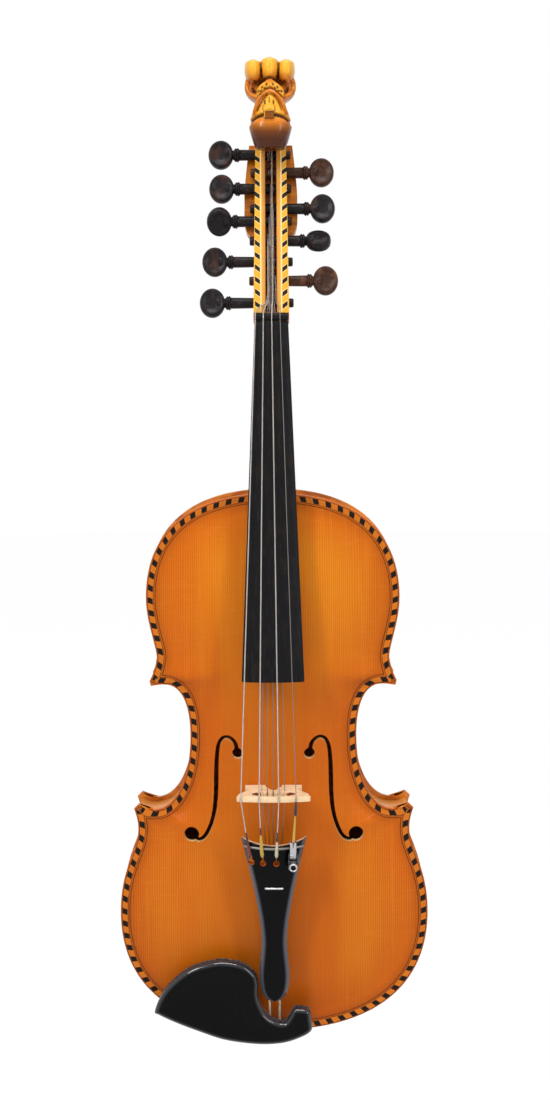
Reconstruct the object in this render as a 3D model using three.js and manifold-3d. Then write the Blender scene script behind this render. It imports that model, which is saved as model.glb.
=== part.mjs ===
// A hardanger fiddle: arched body, carved head, nine pegs, four playing strings and five understrings.
// Millimetres, +Z up towards the head, front of the fiddle towards -Y, treble side towards +X.
import * as THREE from 'three';
import { mergeVertices } from 'three/addons/utils/BufferGeometryUtils.js';
import Module from 'manifold-3d';

const wasm = await Module();
wasm.setup();

// Clearance between pieces that touch, and the overrun of a cutter past what it cuts
const gap = 0.3;
const overrun = 2;
const mergeDistance = 1e-5;

// Body outline: full widths, and heights above the bottom edge as shares of the length
const bodyLength = 352;
const lowerBoutWidth = 199;
const lowerHollowWidth = 174.8;
const lowerCornerWidth = 180;
const waistWidth = 106.4;
const upperCornerWidth = 158;
const upperHollowWidth = 148.4;
const upperBoutWidth = 161.4;
const cornerReach = 13;
const cornerTip = 3;
const lowerBoutShare = 0.2244;
const lowerHollowShare = 0.385;
const lowerCornerShare = 0.4213;
const waistShare = 0.5597;
const upperCornerShare = 0.6585;
const upperHollowShare = 0.7017;
const upperBoutShare = 0.8097;

// Body depths
const ribHeight = 30;
const ribThickness = 1.3;
const plateEdge = 4;
const plateThickness = 3;
const edgeOverhang = 2.8;
const edgeRound = 1.2;
const channelWidth = 6;
const landWidth = 8;
const topArch = 16;
const backArch = 15;
const backFlat = 1.8;
const buttonRadius = 10;
const liningWidth = 2.2;
const liningHeight = 7;
const cornerBlockLength = 25;
const neckBlockWidth = 52;
const neckBlockLength = 20;
const endBlockWidth = 46;
const endBlockLength = 16;
const bassBarWidth = 5;
const bassBarHeight = 9;
const bassBarShare = 0.7;
const soundPostDiameter = 6.2;

// Sound holes
const soundHoleLength = 63.4;
const soundHoleSpread = 29.9;
const soundHoleInset = 22.9;
const soundHoleBottom = 132.8;
const soundHoleStem = 2.4;
const upperEyeRadius = 3.1;
const lowerEyeRadius = 4.5;

// Neck, fingerboard and nut
const neckLength = 108.6;
const neckRootLength = 6;
const heelWidth = 24;
const heelLength = 20;
const neckDepth = 14;
const neckWidth = 21;
const neckRise = 6;
const neckFrontAtNut = 19;
const fingerboardLength = 224.6;
const fingerboardEndWidth = 39.3;
const fingerboardThickness = 5.5;
const stringAction = 4.17;
const fingerboardEndThickness = 6.5;
const fingerboardCrown = 2;
const grooveWidth = 13;
const nutLength = 4.4;
const nutRise = 0.6;
const understringNutRise = 1;

// Pegbox, tilted back from the nut, and the flared shoulders behind its walls
const pegboxLength = 116;
const pegboxTilt = THREE.MathUtils.degToRad(17);
const pegboxWidth = 22.4;
const pegboxTopWidth = 19.2;
const pegboxDepth = 22;
const pegboxTopDepth = 19;
const pegboxFront = 21.5;
const channelHalfWidth = 3.6;
const channelDepth = 16;
const bevelWidth = 3;
const shoulderWidth = 33.6;
const shoulderDepth = 7.6;

// Pegs: places along the pegbox as shares of its length
const pegDepth = 10;
const pegShares = {
  bass: [0.929, 0.733, 0.546, 0.315, 0.083],
  treble: [0.825, 0.618, 0.434, 0.207],
};
const pegTurns = {
  bass: [0, 0, 0.7, 0.15, 0],
  treble: [0, 0, -0.75, 0.1],
};
const pegReachShares = {
  bass: [0.96, 0.945, 0.99, 1.075, 1.12],
  treble: [0.975, 0.99, 0.905, 1.035],
};
const pegShaftRadius = 3.5;
const pegTipRadius = 2.8;
const pegTipReach = 3;
const pegHeadReach = 33;
const pegHeadWidth = 16;
const pegHeadHeight = 18.6;
const pegHeadThickness = 8;
const pegCollarRadius = 4.5;

// Strings
const playingRadius = 0.4;
const thinRadius = 0.25;
const understringRadius = 0.25;
const playingDepth = 1.5;
const understringDepth = 4.3;
const windingLoops = 2;
const windingSteps = 10;
const windingSides = 5;
const windingGap = 0.5;

// Bridge
const bridgeShare = 0.46733;
const bridgeHeight = bodyLength * bridgeShare;
const bridgeTopWidth = 45;
const bridgeFootSpan = 42;
const bridgeRise = 30.5;
const bridgeThickness = 3.4;
const bridgeDrop = 2.6;
const bridgeSill = 14;

// Tailpiece and what holds it
const tailpieceBottom = 27;
const afterLength = 29.14;
const tailpieceWidth = 41.2;
const tailpieceThickness = 9;
const tailpieceTilt = THREE.MathUtils.degToRad(6.2);
const tailpieceLength = (bridgeHeight - afterLength - tailpieceBottom) / Math.cos(tailpieceTilt);
const tailpieceFront = 40;
const tailpieceCurve = 34;
const fretHeight = 1;
const fretLength = 1.6;
const fretInset = 4.9;
const fretToHole = 9.8;
const holeToStaple = 16.4;
const stringHoleRadius = 1.6;
const gutRadius = 0.9;
const gutSpread = 3.2;
const stapleHalf = 5.4;
const stapleRadius = 0.7;
const saddleWidth = 32;
const saddleLength = 6;
const saddleRise = 3;
const buttonHeadRadius = 6.5;
const buttonNeckRadius = 3.4;
const buttonShankRadius = 3.6;
const buttonLength = 13;
const buttonShankLength = 18;

// Chin rest
const chinrestFront = 42;
const chinrestThickness = 9;
const chinrestDish = 5;
const chinrestCupWidth = 66.7;
const chinrestHornReach = 34;
const chinrestClearance = 0.85;
const chinrestLength = 55.5;
const chinrestDrop = 1.4;
const corkThickness = 1.6;
const barrelRadius = 2.4;
const barrelRodRadius = 1.3;
const barrelLength = 22;
const clampDepth = 3.6;
const clampReach = 8.4;
const lugWall = 0.8;

// Fine tuner on the thinnest string
const tunerWidth = 6;
const tunerThickness = 1.4;
const tunerScrewRadius = 2.9;
const tunerRodRadius = 1.1;
const tunerLeverArm = 8;
const tunerStand = 5.6;
const tunerPlate = 0.8;

// Carved head
const headHeight = 51.3;
const crownWidth = 31.8;
const jawWidth = 27.2;
const jawReach = 27;
const collarWidth = 31;
const mouthHeight = 1.6;

const material = (color, roughness, metalness = 0) =>
  new THREE.MeshStandardMaterial({ color, roughness, metalness });
const spruce = material(0xd9741c, 0.3);
const maple = material(0xd98a3c, 0.35);
const ribMaple = material(0xe2b48c, 0.35);
const headMaple = material(0xd08a20, 0.3);
const rawSpruce = material(0xe4c798, 0.8);
const ebony = material(0x1b1719, 0.35);
const pegWood = material(0x2a2022, 0.3);
const bridgeMaple = material(0xe8c9a0, 0.55);
const steel = material(0xc9c9cc, 0.25, 1);
const gut = material(0xd8cfb8, 0.4);
const cork = material(0xc49a6c, 0.9);
const bone = material(0xe9e2d0, 0.5);

const ribHalf = ribHeight / 2;
const up = (share) => share * bodyLength;
const point = (x, z) => new THREE.Vector2(x, z);

// Solids: a closed geometry in, a manifold out, and back to a mesh at the end
function toSolid(geometry) {
  const bare = geometry.clone();
  bare.deleteAttribute('normal');
  bare.deleteAttribute('uv');
  const merged = mergeVertices(bare, mergeDistance);
  const index = merged.index.array;
  const corners = [0, 1, 2].map(() => new THREE.Vector3());
  const triangles = [];
  let volume = 0;
  for (let i = 0; i < index.length; i += 3) {
    const [a, b, c] = [index[i], index[i + 1], index[i + 2]];
    if (a !== b && b !== c && c !== a) {
      triangles.push([a, b, c]);
      corners.forEach((corner, k) => corner.fromBufferAttribute(merged.attributes.position, index[i + k]));
      volume += corners[0].dot(corners[1].clone().cross(corners[2]));
    }
  }
  const facingOut = volume > 0 ? triangles : triangles.map(([a, b, c]) => [a, c, b]);
  return new wasm.Manifold(new wasm.Mesh({
    numProp: 3,
    vertProperties: new Float32Array(merged.attributes.position.array),
    triVerts: new Uint32Array(facingOut.flat()),
  }));
}

const join = (first, ...others) => others.reduce((sum, solid) => sum.add(solid), first);
const cut = (first, ...others) => others.reduce((rest, solid) => rest.subtract(solid), first);
const common = (first, ...others) => others.reduce((rest, solid) => rest.intersect(solid), first);

function toGeometry(solid) {
  const { vertProperties, triVerts, numProp } = solid.getMesh();
  const positions = new Float32Array(triVerts.length * 3);
  triVerts.forEach((vertex, i) => {
    for (let axis = 0; axis < 3; axis += 1) {
      positions[i * 3 + axis] = vertProperties[vertex * numProp + axis];
    }
  });
  const geometry = new THREE.BufferGeometry();
  geometry.setAttribute('position', new THREE.BufferAttribute(positions, 3));
  geometry.computeVertexNormals();
  return geometry;
}

function addPiece(parent, name, solid, look) {
  const mesh = new THREE.Mesh(toGeometry(solid), look);
  mesh.name = name;
  parent.add(mesh);
  return mesh;
}

// A flat outline in x and z, made solid from yFront back to yBack
function prismGeometry(outline, yFront, yBack) {
  const shape = outline instanceof THREE.Shape ? outline : new THREE.Shape(outline);
  const geometry = new THREE.ExtrudeGeometry(shape, {
    depth: yBack - yFront, bevelEnabled: false, curveSegments: 6,
  });
  return geometry.rotateX(Math.PI / 2).translate(0, yBack, 0);
}

const prism = (outline, yFront, yBack) => toSolid(prismGeometry(outline, yFront, yBack));

function boxSolid(xMin, xMax, yMin, yMax, zMin, zMax) {
  const geometry = new THREE.BoxGeometry(xMax - xMin, yMax - yMin, zMax - zMin);
  geometry.translate((xMin + xMax) / 2, (yMin + yMax) / 2, (zMin + zMax) / 2);
  return toSolid(geometry);
}

function ellipsoid(centre, radii, around = 16, along = 10) {
  const geometry = new THREE.SphereGeometry(1, around, along);
  geometry.rotateX(Math.PI / 2).scale(...radii).translate(...centre);
  return toSolid(geometry);
}

// A solid through closed loops of equal point counts, capped at both ends
function loft(loops) {
  const count = loops[0].length;
  const positions = [];
  const triangle = (a, b, c) => positions.push(...a.toArray(), ...b.toArray(), ...c.toArray());
  for (let k = 0; k < loops.length - 1; k += 1) {
    for (let i = 0; i < count; i += 1) {
      const j = (i + 1) % count;
      triangle(loops[k][i], loops[k][j], loops[k + 1][j]);
      triangle(loops[k][i], loops[k + 1][j], loops[k + 1][i]);
    }
  }
  const last = loops[loops.length - 1];
  for (let i = 1; i < count - 1; i += 1) {
    triangle(loops[0][0], loops[0][i + 1], loops[0][i]);
    triangle(last[0], last[i], last[i + 1]);
  }
  const geometry = new THREE.BufferGeometry();
  geometry.setAttribute('position', new THREE.Float32BufferAttribute(positions, 3));
  return toSolid(geometry);
}

// A route through points chosen by hand, with one tube section at every point
class Route extends THREE.Curve {
  constructor(points) {
    super();
    this.points = points;
  }

  getPoint(t) {
    const place = THREE.MathUtils.clamp(t, 0, 1) * (this.points.length - 1);
    const before = Math.min(Math.floor(place), this.points.length - 2);
    return this.points[before].clone().lerp(this.points[before + 1], place - before);
  }

  getPointAt(t) {
    return this.getPoint(t);
  }

  getTangentAt(t) {
    const place = Math.round(t * (this.points.length - 1));
    const before = this.points[Math.max(place - 1, 0)];
    const here = this.points[place];
    const after = this.points[Math.min(place + 1, this.points.length - 1)];
    const arriving = here.clone().sub(before).normalize();
    const leaving = after.clone().sub(here).normalize();
    return arriving.add(leaving).normalize();
  }
}

function tube(points, radius, sides) {
  const section = Array.from({ length: sides }, (_, i) => {
    const angle = (i / sides) * 2 * Math.PI;
    return point(radius * Math.cos(angle), radius * Math.sin(angle));
  });
  return toSolid(new THREE.ExtrudeGeometry(new THREE.Shape(section), {
    steps: points.length - 1,
    extrudePath: new Route(points),
    bevelEnabled: false,
  }));
}

// Least distance between parts of a route that lie more than half a loop apart, less one diameter
function leastSelfGap(points, radius, apart) {
  let least = Infinity;
  for (let i = 0; i < points.length; i += 1) {
    for (let j = i + apart; j < points.length; j += 1) {
      least = Math.min(least, points[i].distanceTo(points[j]));
    }
  }
  return least - 2 * radius;
}

// Body outline, right half, as three stretches between the corners
const cubic = (a, b, c, d, steps) => new THREE.CubicBezierCurve(a, b, c, d).getPoints(steps);
const quadratic = (a, b, c, steps) => new THREE.QuadraticBezierCurve(a, b, c).getPoints(steps);
const chain = (...runs) => runs.flatMap((run, i) => (i ? run.slice(1) : run));

function outlineStretches() {
  const lowerBout = lowerBoutWidth / 2;
  const lowerHollow = lowerHollowWidth / 2;
  const lowerCorner = lowerCornerWidth / 2;
  const waist = waistWidth / 2;
  const upperCorner = upperCornerWidth / 2;
  const upperHollow = upperHollowWidth / 2;
  const upperBout = upperBoutWidth / 2;
  const lowerHook = lowerCorner - cornerReach;
  const upperHook = upperCorner - cornerReach;
  const lower = chain(
    cubic(point(0, 0), point(lowerBout * 0.583, 0), point(lowerBout, up(lowerBoutShare * 0.3075)),
      point(lowerBout, up(lowerBoutShare)), 7),
    cubic(point(lowerBout, up(lowerBoutShare)), point(lowerBout, up(0.3125)),
      point(lowerHollow, up(0.341)), point(lowerHollow, up(lowerHollowShare)), 4),
    quadratic(point(lowerHollow, up(lowerHollowShare)), point(lowerHollow, up(0.4006)),
      point(lowerCorner, up(lowerCornerShare)), 2),
  );
  const centre = chain(
    cubic(point(lowerCorner - cornerTip, up(lowerCornerShare) + cornerTip),
      point(lowerCorner - cornerReach / 2, up(lowerCornerShare)),
      point(lowerHook + cornerReach / 4, up(lowerCornerShare - 0.0014)),
      point(lowerHook, up(lowerCornerShare - 0.0014)), 2),
    cubic(point(lowerHook, up(lowerCornerShare - 0.0014)),
      point(lowerHook - cornerReach, up(lowerCornerShare - 0.0014)),
      point(waist, up(0.4716)), point(waist, up(waistShare)), 6),
    cubic(point(waist, up(waistShare)), point(waist, up(0.608)),
      point(waist + cornerReach / 3, up(upperCornerShare - 0.0079)),
      point(upperHook + cornerTip, up(upperCornerShare - 0.0062)), 5),
    cubic(point(upperHook + cornerTip, up(upperCornerShare - 0.0062)),
      point(upperCorner - cornerReach / 2, up(upperCornerShare - 0.0054)),
      point(upperCorner - cornerReach / 4, up(upperCornerShare - 0.0071)),
      point(upperCorner - cornerTip / 4, up(upperCornerShare) - cornerTip), 2),
  );
  const upper = chain(
    quadratic(point(upperCorner, up(upperCornerShare)),
      point(upperHollow * 1.016, up(0.6776)),
      point(upperHollow, up(upperHollowShare)), 2),
    cubic(point(upperHollow, up(upperHollowShare)), point(upperHollow, up(0.7216)),
      point(upperBout, up(0.767)), point(upperBout, up(upperBoutShare)), 3),
    cubic(point(upperBout, up(upperBoutShare)), point(upperBout, up(0.924)),
      point(upperBout * 0.692, up(1)), point(0, up(1)), 7),
  );
  return { lower, centre, upper };
}

function insetStretch(run, distance) {
  return run.map((here, i) => {
    const before = run[Math.max(i - 1, 0)];
    const after = run[Math.min(i + 1, run.length - 1)];
    const along = after.clone().sub(before).normalize();
    const moved = point(here.x - along.y * distance, here.y + along.x * distance);
    if (here.x === 0) moved.set(0, here.y + Math.sign(up(0.5) - here.y) * distance);
    return moved;
  });
}

function crossing(a, b, c, d) {
  const first = b.clone().sub(a);
  const second = d.clone().sub(c);
  const scale = first.cross(second);
  if (Math.abs(scale) < 1e-9) return null;
  const offset = c.clone().sub(a);
  const s = offset.cross(second) / scale;
  const t = offset.cross(first) / scale;
  return s >= 0 && s <= 1 && t >= 0 && t <= 1 ? a.clone().addScaledVector(first, s) : null;
}

// Two runs end to end, trimmed where they cross near the corner
function meet(first, second) {
  for (let i = first.length - 2; i >= 0; i -= 1) {
    for (let j = 0; j < second.length - 1; j += 1) {
      const at = crossing(first[i], first[i + 1], second[j], second[j + 1]);
      if (at) return [...first.slice(0, i + 1), at, ...second.slice(j + 1)];
    }
  }
  return [...first, ...second];
}

const stretches = outlineStretches();

function insetOutline(distance) {
  const { lower, centre, upper } = stretches;
  const moved = [lower, centre, upper].map((run) => insetStretch(run, distance));
  const half = meet(meet(moved[0], moved[1]), moved[2]);
  const mirrored = half.slice(1, -1).reverse().map((p) => point(-p.x, p.y));
  return [...half, ...mirrored];
}

// Arched plates: rings of the outline that shrink onto a straight spine
const spineShares = { bottom: 0.142, lowerCorner: [0.335, 0.347], upperCorner: [0.693, 0.702], top: 0.866 };

function spineHeights() {
  const spread = (run, from, to) => {
    const lengths = [0];
    for (let i = 1; i < run.length; i += 1) {
      lengths.push(lengths[i - 1] + run[i].distanceTo(run[i - 1]));
    }
    return lengths.map((length) => up(from + (to - from) * (length / lengths.at(-1))));
  };
  return [
    ...spread(stretches.lower, spineShares.bottom, spineShares.lowerCorner[0]),
    ...spread(stretches.centre, spineShares.lowerCorner[1], spineShares.upperCorner[0]),
    ...spread(stretches.upper, spineShares.upperCorner[1], spineShares.top),
  ];
}

function archedPlate(side, outerRings, innerRings) {
  const half = [...stretches.lower, ...stretches.centre, ...stretches.upper];
  const spine = spineHeights();
  const mirrored = half.map((_, i) => i).slice(1, -1).reverse();
  const edge = [
    ...half.map((p, i) => ({ p, s: point(0, spine[i]) })),
    ...mirrored.map((i) => ({ p: point(-half[i].x, half[i].y), s: point(0, spine[i]) })),
  ];
  const ring = ({ inset, blend, height }) => edge.map(({ p, s }) => {
    const way = s.clone().sub(p);
    const share = (inset + (way.length() - inset) * blend) / way.length();
    const at = p.clone().addScaledVector(way, share);
    const y = side * (ribHalf + height(s.y));
    return new THREE.Vector3(blend === 1 ? 0 : at.x, y, blend === 1 ? s.y : at.y);
  });
  const rings = [...innerRings.map(ring).reverse(), ...outerRings.map(ring)];
  const positions = [];
  const triangle = (a, b, c) => {
    const order = side < 0 ? [a, b, c] : [a, c, b];
    order.forEach((corner) => positions.push(...corner.toArray()));
  };
  for (let k = 0; k < rings.length - 1; k += 1) {
    for (let i = 0; i < edge.length; i += 1) {
      const j = (i + 1) % edge.length;
      triangle(rings[k][i], rings[k][j], rings[k + 1][j]);
      triangle(rings[k][i], rings[k + 1][j], rings[k + 1][i]);
    }
  }
  const geometry = new THREE.BufferGeometry();
  geometry.setAttribute('position', new THREE.Float32BufferAttribute(positions, 3));
  return toSolid(geometry);
}

const archDropShare = 0.3;
const swell = (blend) => (1 - Math.cos(Math.PI * blend)) / 2;

function crownAt(z, arch) {
  const middle = up((spineShares.bottom + spineShares.top) / 2);
  const reach = up((spineShares.top - spineShares.bottom) / 2);
  return arch * (1 - archDropShare * ((z - middle) / reach) ** 2);
}

const flatRingShare = 0.86;

function outerRingsFor(arch, flatAt = Infinity) {
  const rise = (z, blend) => plateEdge + (crownAt(z, arch) - plateEdge) * swell(blend);
  return [
    { inset: 0, blend: 0, height: () => plateEdge - edgeRound },
    { inset: edgeRound, blend: 0, height: () => plateEdge },
    ...[0, 0.3, 0.62, ...(flatAt < arch ? [flatRingShare] : []), 1].map((blend) => ({
      inset: channelWidth, blend, height: (z) => Math.min(rise(z, blend), flatAt),
    })),
  ];
}

function innerRingsFor(arch, clearance = 0) {
  const rise = (z, blend) => (crownAt(z, arch) - plateThickness) * swell(blend) - clearance;
  return [
    { inset: 0, blend: 0, height: () => -clearance },
    ...[0, 0.45, 1].map((blend) => ({
      inset: landWidth, blend, height: (z) => rise(z, blend),
    })),
  ];
}

const backFlatHeight = backArch - backFlat;
const topShell = archedPlate(-1, outerRingsFor(topArch), innerRingsFor(topArch));
const backShell = archedPlate(1, outerRingsFor(backArch, backFlatHeight), innerRingsFor(backArch));
const aboveTop = archedPlate(-1, [{ inset: 0, blend: 0, height: () => topArch * 2 },
  { inset: channelWidth, blend: 1, height: () => topArch * 2 }], innerRingsFor(topArch, gap));
const behindBack = archedPlate(1, [{ inset: 0, blend: 0, height: () => backArch * 2 },
  { inset: channelWidth, blend: 1, height: () => backArch * 2 }], innerRingsFor(backArch, gap));

// Sound hole: two round eyes and a narrow stem, as shares of its spread and length
const stemShares = [[0.02, 0.88], [0.06, 0.95], [0.19, 1], [0.33, 0.985], [0.42, 0.9], [0.455, 0.73],
  [0.465, 0.56], [0.475, 0.4], [0.515, 0.225], [0.6, 0.085], [0.72, -0.02], [0.86, -0.055], [0.96, 0]];

function soundHole(side) {
  const place = ([x, z]) => point(side * (soundHoleInset + x * soundHoleSpread),
    soundHoleBottom + z * soundHoleLength);
  const line = stemShares.map(place);
  const edge = (offset) => line.map((here, i) => {
    const along = line[Math.min(i + 1, line.length - 1)].clone().sub(line[Math.max(i - 1, 0)]).normalize();
    const end = i === 0 || i === line.length - 1 ? 0.7 : 1;
    return point(here.x - along.y * offset * end, here.y + along.x * offset * end);
  });
  const front = -ribHalf - topArch * 2;
  const stem = prism([...edge(soundHoleStem / 2), ...edge(-soundHoleStem / 2).reverse()], front, 0);
  const eye = (centre, radius) => {
    const circle = new THREE.Shape().absarc(centre.x, centre.y, radius, 0, 2 * Math.PI);
    return prism(circle, front, 0);
  };
  return join(stem, eye(place([0, 0.84]), upperEyeRadius), eye(place([1, 0]), lowerEyeRadius));
}

// The neck, from the root in its mortise to the nut
const nutBottom = bodyLength + neckLength;
const nutTop = nutBottom + nutLength;
const neckFrontAt = (z) => {
  const share = (nutBottom - z) / neckLength;
  return -(neckFrontAtNut + neckRise * share);
};

function neckLoop(z, width, back, fullness) {
  const front = neckFrontAt(z);
  const loop = [];
  for (let i = 0; i <= 10; i += 1) {
    const angle = (i / 10) * Math.PI;
    const x = (width / 2) * Math.sign(Math.cos(angle)) * Math.abs(Math.cos(angle)) ** fullness;
    const y = front + (back - front) * Math.sin(angle) ** fullness;
    loop.push(new THREE.Vector3(x, y, z));
  }
  return loop;
}

const heelBack = ribHalf - gap;
const rootBottom = bodyLength - neckRootLength;

function neckSolid() {
  const shaftBottom = bodyLength + heelLength;
  const backAt = (z) => neckFrontAt(z) + neckDepth;
  const widthAt = (z) => heelWidth + (neckWidth - heelWidth) * ((z - bodyLength) / neckLength);
  const middle = (shaftBottom + nutBottom) / 2;
  return loft([
    neckLoop(rootBottom, heelWidth, heelBack, 0.35),
    neckLoop(bodyLength + gap, heelWidth, heelBack, 0.4),
    neckLoop(bodyLength + heelLength * 0.3, widthAt(bodyLength), heelBack - heelLength * 0.35, 0.6),
    neckLoop(bodyLength + heelLength * 0.6, widthAt(bodyLength), (heelBack + backAt(shaftBottom)) / 2.6, 0.8),
    neckLoop(shaftBottom, widthAt(shaftBottom), backAt(shaftBottom), 0.9),
    neckLoop(middle, widthAt(middle), backAt(middle), 0.9),
    neckLoop(nutBottom, neckWidth, backAt(nutBottom), 0.9),
    neckLoop(nutTop + gap, neckWidth, backAt(nutBottom) + nutLength, 0.8),
  ]);
}

// Pegbox frame: x across, z along the pegbox from the nut, y back from its front face
const pegboxMatrix = new THREE.Matrix4()
  .makeTranslation(0, -pegboxFront, nutTop)
  .multiply(new THREE.Matrix4().makeRotationX(-pegboxTilt));
const pegboxPlace = (x, depth, along) => new THREE.Vector3(x, depth, along).applyMatrix4(pegboxMatrix);

function inPegbox(geometry) {
  return toSolid(geometry.applyMatrix4(pegboxMatrix));
}

function pegboxSolid() {
  const foot = -overrun;
  const half = pegboxWidth / 2;
  const topHalf = pegboxTopWidth / 2;
  const end = pegboxLength + overrun;
  const front = inPegbox(prismGeometry([point(-half, foot), point(half, foot), point(topHalf, end),
    point(-topHalf, end)], 0, pegboxDepth + overrun));
  const shoulder = shoulderWidth / 2;
  const shoulderShares = [[0.62, 0.43], [0.7, 0.46], [0.9, 0.5], [1, 0.56], [1, 0.72], [0.95, 0.82],
    [0.8, 1.03]];
  const side = shoulderShares.map(([x, z]) => point(x * shoulder, z * pegboxLength));
  const other = side.map((p) => point(-p.x, p.y)).reverse();
  const flare = inPegbox(prismGeometry([...side, ...other], pegboxDepth - shoulderDepth,
    pegboxDepth + overrun));
  const profile = new THREE.Shape();
  profile.moveTo(-overrun, foot - overrun);
  profile.lineTo(-overrun, pegboxLength);
  profile.lineTo(pegboxTopDepth, pegboxLength);
  profile.quadraticCurveTo(pegboxDepth, pegboxLength * 0.75, pegboxDepth, pegboxLength * 0.4);
  profile.quadraticCurveTo(pegboxDepth, pegboxLength * 0.1, pegboxDepth * 0.72, foot - overrun);
  const sideways = new THREE.ExtrudeGeometry(profile, {
    depth: shoulderWidth + overrun, bevelEnabled: false, curveSegments: 6,
  });
  sideways.translate(0, 0, -(shoulderWidth + overrun) / 2);
  const axes = new THREE.Matrix4().makeBasis(new THREE.Vector3(0, 1, 0), new THREE.Vector3(0, 0, 1),
    new THREE.Vector3(1, 0, 0));
  return common(join(front, flare), inPegbox(sideways.applyMatrix4(axes)));
}

function pegboxChannel() {
  const end = pegboxLength - bevelWidth;
  const across = [[channelHalfWidth + bevelWidth + overrun / 2, -overrun / 2], [channelHalfWidth, bevelWidth],
    [channelHalfWidth, channelDepth]];
  const right = across.map(([x, y]) => point(x, y));
  const left = across.map(([x, y]) => point(-x, y)).reverse();
  const geometry = new THREE.ExtrudeGeometry(new THREE.Shape([...right, ...left]), {
    depth: end - gap, bevelEnabled: false,
  });
  return inPegbox(geometry.translate(0, 0, gap));
}

// Pegs: a turned shaft, a collar and a flat head, lying along x
const pegs = ['bass', 'treble'].flatMap((side) => pegShares[side].map((share, i) => ({
  side,
  name: `${side}_peg_${i + 1}`,
  along: share * pegboxLength,
  turn: pegTurns[side][i],
  reach: pegHeadReach * pegReachShares[side][i],
  sign: side === 'bass' ? -1 : 1,
})));
const halfWidthAt = (along) => (pegboxWidth + (pegboxTopWidth - pegboxWidth) * (along / pegboxLength)) / 2;

function latheAlongX(profile, sides, sign) {
  const geometry = new THREE.LatheGeometry(profile.map(([x, radius]) => point(radius, x)), sides);
  geometry.rotateZ(-Math.PI / 2);
  if (sign < 0) geometry.rotateY(Math.PI);
  return geometry;
}

function pegGeometry(peg) {
  const wall = halfWidthAt(peg.along);
  const tip = -wall - pegTipReach;
  const neck = peg.reach - pegHeadWidth / 2 + pegCollarRadius / 4;
  const collar = neck - pegCollarRadius;
  return latheAlongX([
    [tip, 0], [tip, pegTipRadius - gap], [tip + 2 * gap, pegTipRadius],
    [collar - pegCollarRadius / 2, pegShaftRadius],
    [collar, pegShaftRadius + gap], [collar + pegCollarRadius * 0.3, pegCollarRadius],
    [collar + pegCollarRadius * 0.6, pegCollarRadius], [neck, pegTipRadius], [neck + overrun, 0],
  ], 8, peg.sign);
}

function pegSolid(peg) {
  const head = new THREE.SphereGeometry(1, 8, 6);
  head.scale(pegHeadWidth / 2, pegHeadThickness / 2, pegHeadHeight / 2);
  head.translate(peg.sign * peg.reach, 0, 0);
  return join(toSolid(pegGeometry(peg)), toSolid(head));
}

const holeSides = 10;
const roundness = Math.cos(Math.PI / holeSides);

function pegHole(peg) {
  const wall = shoulderWidth / 2 + overrun;
  const geometry = latheAlongX([
    [-wall, 0], [-wall, (pegTipRadius + gap) / roundness],
    [wall, (pegShaftRadius + gap) / roundness], [wall, 0],
  ], holeSides, peg.sign);
  return inPegbox(geometry.translate(0, pegDepth, peg.along));
}

// Strings: places across the nut, bridge, tailpiece and pegbox channel as shares of their half widths
const playingShares = {
  string_g: { nut: -0.952, bridge: -0.907, tail: -0.718, lane: -0.806 },
  string_d: { nut: -0.476, bridge: -0.4, tail: -0.35, lane: -0.556 },
  string_a: { nut: 0.019, bridge: 0.142, tail: 0.078, lane: 0.194 },
  string_e: { nut: 0.514, bridge: 0.622, tail: 0.544, lane: 0.806 },
};
const playingPegs = {
  string_g: 'bass_peg_5', string_d: 'treble_peg_3', string_a: 'bass_peg_1', string_e: 'treble_peg_4',
};
const understringShares = {
  understring_1: { nut: -0.4, bridge: -0.8, lane: -0.556 },
  understring_2: { nut: -0.2, bridge: -0.42, lane: -0.306 },
  understring_3: { nut: 0.4, bridge: 0.76, lane: 0.444 },
  understring_4: { nut: 0, bridge: -0.02, lane: -0.056 },
  understring_5: { nut: 0.2, bridge: 0.37, lane: 0.194 },
};
const understringPegs = {
  understring_1: 'bass_peg_4',
  understring_2: 'bass_peg_3',
  understring_3: 'treble_peg_2',
  understring_4: 'bass_peg_2',
  understring_5: 'treble_peg_1',
};
const windowHalf = bridgeFootSpan * 0.22;
const playingStrings = Object.entries(playingShares).map(([name, share]) => ({
  name,
  peg: playingPegs[name],
  radius: name === 'string_e' ? thinRadius : playingRadius,
  nut: share.nut * (neckWidth / 2),
  bridge: share.bridge * (bridgeTopWidth / 2),
  tail: share.tail * (tailpieceWidth / 2),
  lane: share.lane * channelHalfWidth,
}));
const understrings = Object.entries(understringShares).map(([name, share]) => ({
  name,
  peg: understringPegs[name],
  radius: understringRadius,
  nut: share.nut * (grooveWidth / 2),
  bridge: share.bridge * windowHalf,
  lane: share.lane * channelHalfWidth,
}));
const pegByName = new Map(pegs.map((peg) => [peg.name, peg]));

function shaftRadiusAt(peg, x) {
  const wall = shoulderWidth / 2 + overrun;
  const share = (x * peg.sign + wall) / (2 * wall);
  return pegTipRadius + (pegShaftRadius - pegTipRadius) * share;
}

// Turns round a peg shaft, from the front of the shaft onwards, towards the middle of the channel
function windingPoints(string) {
  const peg = pegByName.get(string.peg);
  const across = string.lane > 0 ? -1 : 1;
  const steps = Math.round(windingLoops * windingSteps);
  const points = [];
  for (let i = 0; i <= steps; i += 1) {
    const angle = (i / windingSteps) * 2 * Math.PI;
    const x = string.lane + across * (2 * string.radius + windingGap) * (i / windingSteps);
    const radius = (shaftRadiusAt(peg, x) + gap) / Math.cos(Math.PI / windingSteps) + string.radius;
    points.push(pegboxPlace(x, pegDepth - radius * Math.cos(angle), peg.along + radius * Math.sin(angle)));
  }
  const straight = points.at(-1).clone().sub(points.at(-2)).normalize();
  points.push(points.at(-1).clone().addScaledVector(straight, 2 * string.radius));
  return points;
}

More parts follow.
